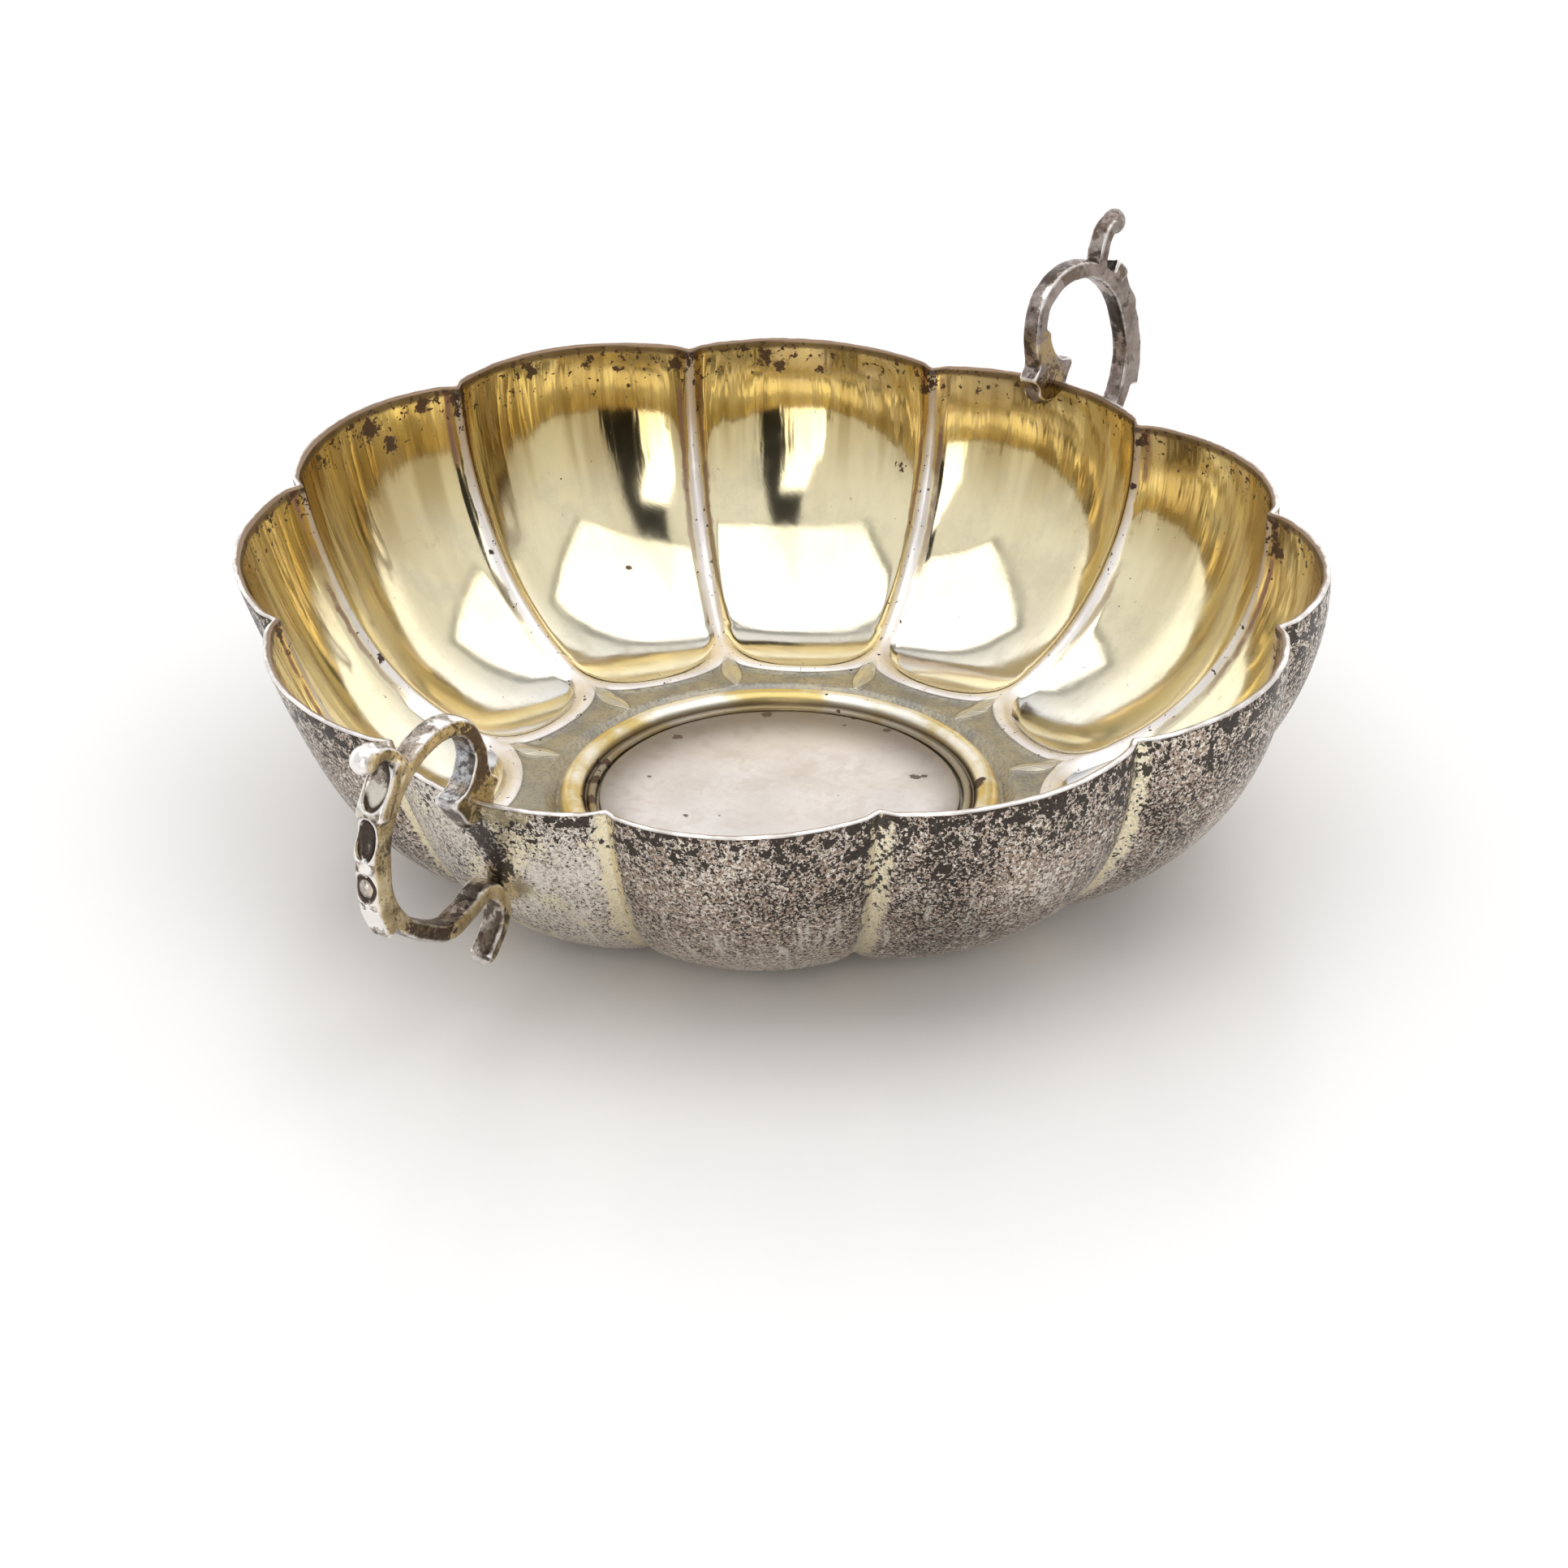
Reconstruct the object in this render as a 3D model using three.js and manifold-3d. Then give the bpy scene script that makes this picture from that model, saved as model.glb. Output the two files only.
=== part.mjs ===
// Lobed two-handled spirit bowl: a raised and chased sheet, a disc and ring set in its floor, two cast scrolls.
// Millimetres, +Z up, the foot stands on z = 0, the handles lie along X.
import * as THREE from "three";
import { mergeVertices } from "three/addons/utils/BufferGeometryUtils.js";
import Module from "manifold-3d";

const wasm = await Module();
wasm.setup();

// overall sizes
const LOBES = 12;
const RIM_RADIUS = 56;
const RIM_HEIGHT = 30.3;
const SHEET = 0.9;

// the raised wall between floor and rim, close to a quarter ellipse along the ribs
const FLOOR_LEVEL = 1.9;
const WALL_FULLNESS = 0.98;

// lobes beaten outwards between the ribs, with round inner ends on the floor
const LOBE_DEPTH_RIM = 3.1;
const LOBE_DEPTH_LOW = 1.2;
const LOBE_END_LENGTH = 9.2;

// raised borders that part the lobes and run round their inner ends
const RIB_WIDTH = 2.2;
const RIB_HEIGHT = 0.5;

// the bowl is old and slightly out of true
const RIM_DIP = 1.6;
const RIM_TILT = 1.65;
const RIM_SQUEEZE = 0.028;
const WAIST_SQUEEZE = 0.021;
const WAIST_SHIFT = 0.0235;
const WAIST_ANGLE = THREE.MathUtils.degToRad(150);

// leaves chased on the floor, one in each corner between two lobe ends
const LEAF_LENGTH = 7.5;
const LEAF_REACH = 3.55;
const LEAF_WIDTH = 2.4;
const LEAF_HEIGHT = 0.35;

// ring moulding: a broad round roll outside and a small bead against the disc
const RING_OUTER_RADIUS = 24.8;
const RING_WIDTH = 4.2;
const ROLL_WIDTH = 2.9;
const ROLL_HEIGHT = 1.9;
const ROLL_FOOT = 0.35;
const BEADING_WIDTH = 1.1;
const BEADING_HEIGHT = 1.05;
const BEADING_FOOT = 0.5;

// plain disc inside the ring, with its upper edge broken
const DISC_CLEARANCE = 0.3;
const DISC_THICKNESS = 0.8;
const DISC_BEVEL = 0.2;

// flat foot, beaten down under ring and disc with a step round it, and the matted floor beyond
const STEP_GAP = 0.3;
const STEP_RUN = 1.5;
const STEP_SPREAD = 0.6;
const FLOOR_MARGIN = 3.4;

// cast scroll handles: a flat-sided band with broken edges
const BAND_WIDTH = 2.9;
const BAND_THICKNESS = 2.2;
const BAND_BEVEL = 0.25;
const THUMB_THICKNESS = 1.75;
const LIP_THICKNESS = 1.5;
const CLEARANCE = 0.3;

// middle line of the band, [out, up] from the rim's edge: up over the finger loop and down its back
const SCROLL = [
  [-0.7, 1.1], [-0.6, 4.9], [1.4, 8.7], [5.5, 10.1], [9.8, 9.2], [13.3, 6.7],
  [15.5, 3.1], [16.1, -1.1], [15.6, -5.1], [13.2, -8.9], [9.2, -11.8],
];
// its thinner curled tail, [out from the wall's outer face, up from the rim's edge]
const TAIL = [
  [9.8, -13.6], [5.4, -12.8], [2.2, -11.9], [0.8, -13.8], [1.5, -15.5], [3.2, -17.2], [6.0, -18.9], [8.2, -20.0],
];
const TAIL_START = 0.7;
const TAIL_THINNING = 0.25;
// thumb-piece and its ball, rim clasp, leaf lips along the back and the bead between them
const THUMB_PIECE = [[11.8, 8.2], [13.5, 10.6], [15.3, 11.9], [16.8, 12.1]];
const THUMB_BALL = { at: [17.5, 11.8], radius: 1.6 };
const CLASP = [
  [-2.0, 3.5], [-2.9, 0.6], [-2.9, -1.4], [-1.2, -2.4], [1.2, -2.8], [2.9, -2.6],
  [3.6, -1.1], [4.1, 0.4], [2.7, 1.2], [1.2, 2.5], [0.5, 4.0],
];
const BACK_LIPS = [
  [[14.2, 9.3], [15.5, 7.2], [16.9, 5.4]],
  [[16.2, 4.4], [16.9, 2.8], [17.9, 1.0]],
  [[17.4, -3.9], [16.8, -6.5], [15.2, -8.8]],
];
const SCOOP = { radius: 1.75, depth: 0.75, rise: 0.2, edge: 0.35 };
const BACK_BEAD = { at: [17.2, -1.6], height: 3.4, depth: 2.4, edge: 0.2 };

// the upper handle sits a little high and off the lobe's middle, is bent and is worn narrower
const UPPER_HANDLE_RISE = 0.27;
const UPPER_HANDLE_WIDTH = 0.84;
const UPPER_HANDLE_LEAN = THREE.MathUtils.degToRad(9);
const UPPER_HANDLE_ROLL_DEGREES = -5.5;
const UPPER_HANDLE_TWIST_DEGREES = -4;
const UPPER_HANDLE_TURN_DEGREES = 1.6;

// what follows from the sizes above
const FOOT_RADIUS = RING_OUTER_RADIUS + STEP_GAP;
const LOBE_END_RADIUS = FOOT_RADIUS + STEP_RUN + FLOOR_MARGIN;
const LOBE_ROUND_RADIUS = LOBE_END_RADIUS + LOBE_END_LENGTH;
const RIB_FLANK = 0.8 * RIB_WIDTH;
const LEAF_MIDDLE_RADIUS = LOBE_END_RADIUS + LEAF_REACH - LEAF_LENGTH / 2;
const HALF_LOBE = Math.PI / LOBES;

// Radius and height of the sheet's inner face along the ribs, and its normal, for an angle t up the wall.
function wallPoint(t) {
  const run = RIM_RADIUS - LOBE_END_RADIUS;
  const rise = RIM_HEIGHT - FLOOR_LEVEL;
  const normal = new THREE.Vector2(rise * Math.sin(t), -run * Math.cos(t)).normalize();
  return {
    r: LOBE_END_RADIUS + run * Math.sin(t),
    z: RIM_HEIGHT - rise * Math.cos(t) ** WALL_FULLNESS,
    normal,
  };
}

// How far a place is from the middle of its lobe: 0 in the middle, 1 on the border line.
function lobeReach(r, away) {
  if (r >= LOBE_ROUND_RADIUS) return away / HALF_LOBE;
  const along = (LOBE_ROUND_RADIUS - r) / LOBE_END_LENGTH;
  const across = (r * Math.sin(away)) / (LOBE_ROUND_RADIUS * Math.sin(HALF_LOBE));
  return Math.hypot(along, across);
}

// Angle of the border line from the lobe's middle at a radius, or 0 where no lobe reaches.
function borderAngle(r) {
  if (r >= LOBE_ROUND_RADIUS) return HALF_LOBE;
  const along = (LOBE_ROUND_RADIUS - r) / LOBE_END_LENGTH;
  if (along >= 1) return 0;
  const across = Math.sqrt(1 - along * along) * LOBE_ROUND_RADIUS * Math.sin(HALF_LOBE);
  return Math.asin(Math.min(1, across / r));
}

// Outward push of the sheet at a place: the lobe's hollow less the raised border.
function push(r, away) {
  const reach = lobeReach(r, away);
  const climb = THREE.MathUtils.clamp((r - LOBE_ROUND_RADIUS) / (RIM_RADIUS - LOBE_ROUND_RADIUS), 0, 1);
  const depth = THREE.MathUtils.lerp(LOBE_DEPTH_LOW, LOBE_DEPTH_RIM, climb ** 2);
  const hollow = reach < 1 ? depth * (1 - reach * reach) : 0;
  const span = r >= LOBE_ROUND_RADIUS ? r * HALF_LOBE : LOBE_END_LENGTH;
  const off = (Math.abs(reach - 1) * span) / RIB_FLANK;
  const rib = off < 1 ? RIB_HEIGHT * Math.cos((off * Math.PI) / 2) ** 2 : 0;
  return hollow - rib;
}

// Height of the leaf above the floor.
function leaf(r, away) {
  const along = (r - LEAF_MIDDLE_RADIUS) / (LEAF_LENGTH / 2);
  const across = (r * (HALF_LOBE - away)) / (LEAF_WIDTH / 2);
  return LEAF_HEIGHT * Math.max(0, 1 - along * along) * Math.max(0, 1 - across * across);
}

// The rim sags at the handles and leans towards one of them, and the mouth is narrower along them.
function outOfTrue(p) {
  const angle = Math.atan2(p.y, p.x);
  const share = Math.max(0, p.z - FLOOR_LEVEL) / (RIM_HEIGHT - FLOOR_LEVEL);
  const facing = Math.cos(angle - WAIST_ANGLE);
  const waist = 4 * share * (1 - share) * (WAIST_SQUEEZE * facing ** 2 + WAIST_SHIFT * facing);
  const squeeze = 1 - RIM_SQUEEZE * Math.cos(2 * angle) * share - waist;
  const lift = (RIM_TILT * share * p.x) / RIM_RADIUS - RIM_DIP * Math.cos(2 * angle) * share * share;
  return new THREE.Vector3(p.x * squeeze, p.y * squeeze, p.z + lift);
}

// A point of the sheet: offset 0 is the inner face, which carries the leaves.
function sheetPoint(station, lobe, away, offset) {
  const relief = offset === 0 ? leaf(station.r, Math.abs(away)) : 0;
  const out = push(station.r, Math.abs(away)) + offset - relief;
  const r = station.r + station.normal.x * out;
  const angle = 2 * lobe * HALF_LOBE + away;
  const z = station.z + station.normal.y * out;
  return outOfTrue(new THREE.Vector3(r * Math.cos(angle), r * Math.sin(angle), z));
}

// Angles of the mesh columns across one lobe at a radius: they bunch up at the border and the leaf.
function columnAngles(r) {
  const ribHalf = RIB_FLANK / r;
  const line = Math.max(borderAngle(r), 0.35 * HALF_LOBE);
  const inner = line - ribHalf;
  const rest = HALF_LOBE - inner;
  const onWall = r >= LOBE_ROUND_RADIUS;
  const crest = onWall ? inner + 0.35 * rest : line;
  const outer = onWall ? inner + 0.65 * rest : Math.min(line + ribHalf, inner + 0.7 * rest);
  const leafEdge = onWall ? outer : HALF_LOBE - LEAF_WIDTH / 2 / r;
  const last = Math.max(leafEdge, inner + 0.85 * rest);
  const half = [0, 0.42 * inner, 0.76 * inner, inner, crest, outer, last, HALF_LOBE];
  return [...half.slice(1).reverse().map((a) => -a), ...half.slice(0, -1)];
}

// One ring of points right round, made by a function of the lobe's number and the angle in it.
function ringOf(r, pointAt) {
  const points = [];
  for (let lobe = 0; lobe < LOBES; lobe++) {
    for (const away of columnAngles(r)) points.push(pointAt(lobe, away));
  }
  return points;
}

// A ring on a face of the sheet.
function lobedRing(station, offset) {
  return ringOf(station.r, (lobe, away) => sheetPoint(station, lobe, away, offset));
}

// A plain circle with as many points.
function plainRing(r, z) {
  return ringOf(LOBE_END_RADIUS, (lobe, away) => {
    const angle = 2 * lobe * HALF_LOBE + away;
    return new THREE.Vector3(r * Math.cos(angle), r * Math.sin(angle), z);
  });
}

// The rings of one face of the sheet, from steps along the floor at the lobes' ends and angles up the wall.
function faceRings(floorSteps, wallAngles, offset) {
  const up = new THREE.Vector2(0, -1);
  const floor = floorSteps.map((step) => ({ r: LOBE_END_RADIUS + step, z: FLOOR_LEVEL, normal: up }));
  const wall = wallAngles.map((angle) => wallPoint(THREE.MathUtils.degToRad(angle)));
  return [...floor, ...wall].map((station) => lobedRing(station, offset));
}

// Joins rings of points into one closed skin, with a fan at each end.
function skin(rings, startCentre, endCentre) {
  const positions = [];
  const faces = [];
  for (const ring of rings) for (const p of ring) positions.push(p.x, p.y, p.z);
  const n = rings[0].length;
  for (let i = 0; i + 1 < rings.length; i++) {
    for (let j = 0; j < n; j++) {
      const a = i * n + j;
      const b = i * n + ((j + 1) % n);
      faces.push(a, b + n, b, a, a + n, b + n);
    }
  }
  const first = positions.length / 3;
  positions.push(startCentre.x, startCentre.y, startCentre.z, endCentre.x, endCentre.y, endCentre.z);
  const lastRing = (rings.length - 1) * n;
  for (let j = 0; j < n; j++) {
    faces.push(first, j, (j + 1) % n);
    faces.push(first + 1, lastRing + ((j + 1) % n), lastRing + j);
  }
  const geometry = new THREE.BufferGeometry();
  geometry.setAttribute("position", new THREE.Float32BufferAttribute(positions, 3));
  geometry.setIndex(faces);
  return geometry;
}

// The rings of the inner face, moved out by an offset, and of the outer face, which bends less.
function innerRings(offset) {
  return faceRings([-1.6, -0.7, 0.5, 1.7], [10, 16, 22, 28, 35, 43, 52, 62, 75, 90], offset);
}

function outerRings(offset) {
  return faceRings([-1.6, 1.7], [12, 25, 38, 51, 64, 77, 90], offset);
}

// The raised sheet: its inner face from the middle of the foot to the rim, and its outer face back down.
function bowl() {
  const rings = [
    plainRing(FOOT_RADIUS, SHEET),
    plainRing(FOOT_RADIUS + STEP_RUN, FLOOR_LEVEL),
    ...innerRings(0),
    ...outerRings(SHEET).reverse(),
    plainRing(FOOT_RADIUS + STEP_RUN + STEP_SPREAD, FLOOR_LEVEL - SHEET),
    plainRing(FOOT_RADIUS + STEP_SPREAD, 0),
  ];
  return skin(rings, new THREE.Vector3(0, 0, SHEET), new THREE.Vector3(0, 0, 0));
}

// A closed body of revolution about Z from its outline of [radius, height] points.
function turned(outline) {
  const points = outline.map(([r, z]) => new THREE.Vector2(r, z));
  return new THREE.LatheGeometry(points, 56).rotateX(Math.PI / 2);
}

// Points of a half-round moulding, from its outer side over the top.
function halfRound(outerRadius, width, foot, height, steps, share) {
  const points = [];
  for (let i = 0; i <= steps; i++) {
    const a = (i / steps) * Math.PI * share;
    const r = outerRadius - width / 2 + (width / 2) * Math.cos(a);
    points.push([r, SHEET + foot + (height - foot) * Math.sin(a)]);
  }
  return points;
}

// The moulded ring, laid on the floor.
function centreRing() {
  const bore = RING_OUTER_RADIUS - RING_WIDTH;
  const roll = halfRound(RING_OUTER_RADIUS, ROLL_WIDTH, ROLL_FOOT, ROLL_HEIGHT, 6, 0.92);
  const beading = halfRound(bore + BEADING_WIDTH, BEADING_WIDTH, BEADING_FOOT, BEADING_HEIGHT, 3, 1);
  return turned([[bore, SHEET], [RING_OUTER_RADIUS, SHEET], ...roll, ...beading, [bore, SHEET]]);
}

// The plain disc, loose by a clearance in the ring.
function centreDisc() {
  const r = RING_OUTER_RADIUS - RING_WIDTH - DISC_CLEARANCE;
  const top = SHEET + DISC_THICKNESS;
  return turned([[0, SHEET], [r, SHEET], [r, top - DISC_BEVEL], [r - DISC_BEVEL, top], [0, top]]);
}

function solidOf(geometry) {
  const bare = geometry.index ? geometry.toNonIndexed() : geometry.clone();
  bare.deleteAttribute("normal");
  bare.deleteAttribute("uv");
  const merged = mergeVertices(bare, 1e-4);
  const mesh = new wasm.Mesh({
    numProp: 3,
    vertProperties: merged.attributes.position.array,
    triVerts: new Uint32Array(merged.index.array),
  });
  return new wasm.Manifold(mesh);
}

function geometryOf(solid) {
  const mesh = solid.getMesh();
  const geometry = new THREE.BufferGeometry();
  geometry.setAttribute("position", new THREE.BufferAttribute(new Float32Array(mesh.vertProperties), 3));
  geometry.setIndex(new THREE.BufferAttribute(new Uint32Array(mesh.triVerts), 1));
  return geometry;
}

// A flat-sided casting: an outline in the XZ plane given width along Y, with its edges broken.
function cast(shape) {
  const depth = BAND_WIDTH - 2 * BAND_BEVEL;
  const geometry = new THREE.ExtrudeGeometry(shape, {
    depth,
    bevelThickness: BAND_BEVEL,
    bevelSize: BAND_BEVEL,
    bevelOffset: -BAND_BEVEL,
    bevelSegments: 1,
  });
  return solidOf(geometry.translate(0, 0, -depth / 2).rotateX(Math.PI / 2));
}

// A band along a smooth line, with rounded ends. It may thin by a share over its tail.
function band(points, steps, thickness, thinning = 0) {
  const curve = new THREE.SplineCurve(points.map(([out, up]) => new THREE.Vector2(out, up)));
  const halfAt = (t) => (thickness / 2) * (1 - thinning * THREE.MathUtils.smoothstep(t, TAIL_START, 1));
  const left = [];
  const right = [];
  for (let i = 0; i <= steps; i++) {
    const middle = curve.getPointAt(i / steps);
    const along = curve.getTangentAt(i / steps);
    const side = new THREE.Vector2(-along.y, along.x).multiplyScalar(halfAt(i / steps));
    left.push(middle.clone().add(side));
    right.push(middle.clone().sub(side));
  }
  const cap = (t, sign) => {
    const along = curve.getTangentAt(t).multiplyScalar(sign);
    const start = Math.atan2(along.y, along.x) + Math.PI / 2;
    return [1, 2, 3].map((k) => {
      const a = start - (k * Math.PI) / 4;
      return curve.getPointAt(t).add(new THREE.Vector2(Math.cos(a), Math.sin(a)).multiplyScalar(halfAt(t)));
    });
  };
  return cast(new THREE.Shape([...left, ...cap(1, 1), ...right.reverse(), ...cap(0, -1)]));
}

// A ball or a squashed ball round the origin.
function ball(radii, facets, rings) {
  const geometry = new THREE.SphereGeometry(1, facets, rings);
  geometry.scale(...radii);
  return geometry;
}

// The clasp that grips the rim, on a smooth closed outline.
function clasp() {
  const points = [...CLASP, CLASP[0]].map(([out, up]) => new THREE.Vector2(out, up));
  const outline = new THREE.SplineCurve(points).getPoints(2 * CLASP.length);
  return cast(new THREE.Shape(outline.slice(0, -1)));
}

// The scoop cut into the back of a lip: a squashed ball laid along it.
function scoop([start, , end]) {
  const along = new THREE.Vector2(end[0] - start[0], end[1] - start[1]);
  const out = new THREE.Vector2(-along.y, along.x).setLength(LIP_THICKNESS / 2 + SCOOP.rise);
  const geometry = ball([SCOOP.depth, BAND_WIDTH / 2 - SCOOP.edge, SCOOP.radius], 10, 6);
  geometry.rotateY(Math.PI / 2 - Math.atan2(along.y, along.x));
  return solidOf(geometry.translate((start[0] + end[0]) / 2 + out.x, 0, (start[1] + end[1]) / 2 + out.y));
}

// The rim's edge at the handle at -X or +X: distance out from the axis, and height.
function rimEdge(side) {
  const edge = outOfTrue(new THREE.Vector3(side * (RIM_RADIUS + LOBE_DEPTH_RIM), 0, RIM_HEIGHT));
  return { out: Math.abs(edge.x), up: edge.z };
}

// Distance out of the sheet's outer face at a height, up the middle of the lobe at one of the handles.
function wallOut(side, height) {
  let low = 0;
  let high = Math.PI / 2;
  let point = null;
  while (high - low > 1e-4) {
    const t = (low + high) / 2;
    point = sheetPoint(wallPoint(t), side < 0 ? LOBES / 2 : 0, 0, SHEET);
    if (point.z < height) low = t;
    else high = t;
  }
  return Math.abs(point.x);
}

// One scroll handle with the rim's edge at the origin and its back towards +X, still uncut by the sheet.
// The loop may lean in over the bowl; clasp and tail stay on the sheet.
function scrollCasting(side, lean) {
  const seat = rimEdge(side);
  const leaned = ([out, up]) => new THREE.Vector2(out, up).rotateAround(new THREE.Vector2(), lean).toArray();
  const tail = TAIL.map(([off, up]) => [wallOut(side, seat.up + up) - seat.out + off, up]);
  const lips = BACK_LIPS.map((lip) => lip.map(leaned));
  const [ballOut, ballUp] = leaned(THUMB_BALL.at);
  const [beadOut, beadUp] = leaned(BACK_BEAD.at);
  const backBead = new THREE.BoxGeometry(BACK_BEAD.depth, BAND_WIDTH - 2 * BACK_BEAD.edge, BACK_BEAD.height);
  const thumbBall = ball(Array(3).fill(THUMB_BALL.radius), 12, 8);
  const parts = [
    band([...SCROLL.map(leaned), ...tail], 40, BAND_THICKNESS, TAIL_THINNING),
    band(THUMB_PIECE.map(leaned), 7, THUMB_THICKNESS),
    solidOf(thumbBall.translate(ballOut, 0, ballUp)),
    clasp(),
    ...lips.map((lip) => band(lip, 5, LIP_THICKNESS)),
    solidOf(backBead.rotateY(-lean).translate(beadOut, 0, beadUp)),
  ];
  const joined = parts.reduce((whole, piece) => whole.add(piece));
  return lips.reduce((whole, lip) => whole.subtract(scoop(lip)), joined);
}

// The sheet grown by the clearance on both faces and over its rim, which the castings stay out of.
function sheetKeepOut() {
  const inner = innerRings(-CLEARANCE);
  const outer = outerRings(SHEET + CLEARANCE).reverse();
  const lifted = (ring) => ring.map((p) => new THREE.Vector3(p.x, p.y, p.z + CLEARANCE));
  const rings = [...inner, lifted(inner.at(-1)), lifted(outer[0]), ...outer];
  return solidOf(skin(rings, new THREE.Vector3(0, 0, FLOOR_LEVEL), new THREE.Vector3(0, 0, 0)));
}

function lowerHandle(keepOut) {
  const seat = rimEdge(-1);
  const placed = scrollCasting(-1, 0).translate([seat.out, 0, seat.up]).rotate([0, 0, 180]);
  return geometryOf(placed.subtract(keepOut));
}

function upperHandle(keepOut) {
  const seat = rimEdge(1);
  const placed = scrollCasting(1, UPPER_HANDLE_LEAN)
    .scale([1, UPPER_HANDLE_WIDTH, 1])
    .rotate([UPPER_HANDLE_ROLL_DEGREES, 0, UPPER_HANDLE_TWIST_DEGREES])
    .translate([seat.out, 0, seat.up + UPPER_HANDLE_RISE])
    .rotate([0, 0, UPPER_HANDLE_TURN_DEGREES]);
  return geometryOf(placed.subtract(keepOut));
}

function piece(name, geometry, finish) {
  const mesh = new THREE.Mesh(geometry, new THREE.MeshStandardMaterial({ metalness: 1, ...finish }));
  mesh.name = name;
  return mesh;
}

const keepOut = sheetKeepOut();
const group = new THREE.Group();
group.add(
  piece("bowl", bowl(), { color: 0xc9b27a, roughness: 0.3 }),
  piece("centre_ring", centreRing(), { color: 0xc2ae7c, roughness: 0.3 }),
  piece("centre_disc", centreDisc(), { color: 0xcfc3bb, roughness: 0.4 }),
  piece("handle_left", lowerHandle(keepOut), { color: 0x8f7d5c, roughness: 0.35 }),
  piece("handle_right", upperHandle(keepOut), { color: 0x94877a, roughness: 0.35 }),
);

export default group;
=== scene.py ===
import math

import bmesh
import bpy
from mathutils import Matrix, Vector, noise
from mathutils.geometry import interpolate_bezier


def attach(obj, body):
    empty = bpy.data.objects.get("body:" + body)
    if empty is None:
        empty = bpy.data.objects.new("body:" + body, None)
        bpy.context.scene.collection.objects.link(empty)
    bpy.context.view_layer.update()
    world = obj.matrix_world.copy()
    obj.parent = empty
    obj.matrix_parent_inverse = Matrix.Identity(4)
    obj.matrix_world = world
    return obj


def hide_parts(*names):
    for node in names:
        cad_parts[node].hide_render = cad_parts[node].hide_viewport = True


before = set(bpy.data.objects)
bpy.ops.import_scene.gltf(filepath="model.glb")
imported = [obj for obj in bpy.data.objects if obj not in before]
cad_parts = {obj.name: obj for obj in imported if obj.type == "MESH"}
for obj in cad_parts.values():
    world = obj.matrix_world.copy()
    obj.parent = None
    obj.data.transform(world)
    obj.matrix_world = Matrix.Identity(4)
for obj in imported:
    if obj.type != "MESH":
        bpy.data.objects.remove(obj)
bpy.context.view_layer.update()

# millimetres to metres
MM = 0.001

# the sheet, in millimetres: sizes of the solid part
LOBES = 12
RIM_RADIUS = 56.0
RIM_HEIGHT = 30.3
SHEET = 0.9
FLOOR_LEVEL = 1.9
WALL_FULLNESS = 0.98
LOBE_DEPTH_RIM = 3.1
LOBE_DEPTH_LOW = 1.2
LOBE_END_LENGTH = 9.2
RIB_FLANK = 1.76
RIB_HEIGHT = 0.5
RIM_DIP = 1.6
RIM_TILT = 1.65
RIM_SQUEEZE = 0.028
WAIST_SQUEEZE = 0.021
WAIST_SHIFT = 0.0235
WAIST_ANGLE = math.radians(150)
FOOT_RADIUS = 25.1
STEP_RUN = 1.5
STEP_SPREAD = 0.6
LOBE_END_RADIUS = 30.0
LEAF_LENGTH = 7.5
LEAF_REACH = 3.55
LEAF_WIDTH = 2.4
LEAF_HEIGHT = 0.35
EDGE_ROUNDING = 0.28

# what follows from them
LOBE_ROUND_RADIUS = LOBE_END_RADIUS + LOBE_END_LENGTH
LEAF_MIDDLE_RADIUS = LOBE_END_RADIUS + LEAF_REACH - LEAF_LENGTH / 2
HALF_LOBE = math.pi / LOBES

# the hammer's unevenness in the sheet, in millimetres: the size of dents and ripples, how close the flutes
# stand, their depths, and the radii between which they begin
DENT_SIZE = 7.0
DENT_DEPTH = 0.045
RIPPLE_SIZE = 2.6
RIPPLE_DEPTH = 0.010
FLUTE_CROWDING = 22.0
FLUTE_DEPTH = 0.09
NARROW_FLUTE_CROWDING = 48.0
NARROW_FLUTE_DEPTH = 0.045
FLUTED_INWARDS = 0.03
HAMMERED_FROM = 27.0
HAMMERED_FULLY = 31.0

# centre ring and disc, in millimetres
RING_OUTER_RADIUS = 24.8
RING_WIDTH = 4.2
ROLL_WIDTH = 2.9
ROLL_HEIGHT = 1.9
ROLL_FOOT = 0.35
ROLL_ROUND = 0.92
BEADING_WIDTH = 1.1
BEADING_HEIGHT = 1.05
BEADING_FOOT = 0.5
DISC_RADIUS = 20.3
DISC_THICKNESS = 0.8
DISC_BEVEL = 0.2
RING_WAVE = 0.06
RING_DENT = 0.035
DISC_WAVE = 0.05

# painted shade along the far edge of the disc, the ring's inner wall seen dark in it, in metres: outside a
# circle that touches its near edge
CENTRE_SHADE_MIDDLE = Vector((-3.0, -2.4, 1.7)) * MM
CENTRE_SHADE_START = 0.0165
CENTRE_SHADE_END = 0.0240

# cast handles, in millimetres: [out, up] from the rim's edge, as in the solid part
BAND_WIDTH = 2.9
BAND_THICKNESS = 2.2
THUMB_THICKNESS = 1.75
SCROLL = [
    (-0.7, 1.1), (-0.6, 4.9), (1.4, 8.7), (5.5, 10.1), (9.8, 9.2), (13.3, 6.7),
    (15.5, 3.1), (16.1, -1.1), (15.6, -5.1), (13.2, -8.9), (9.2, -11.8),
]
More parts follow.
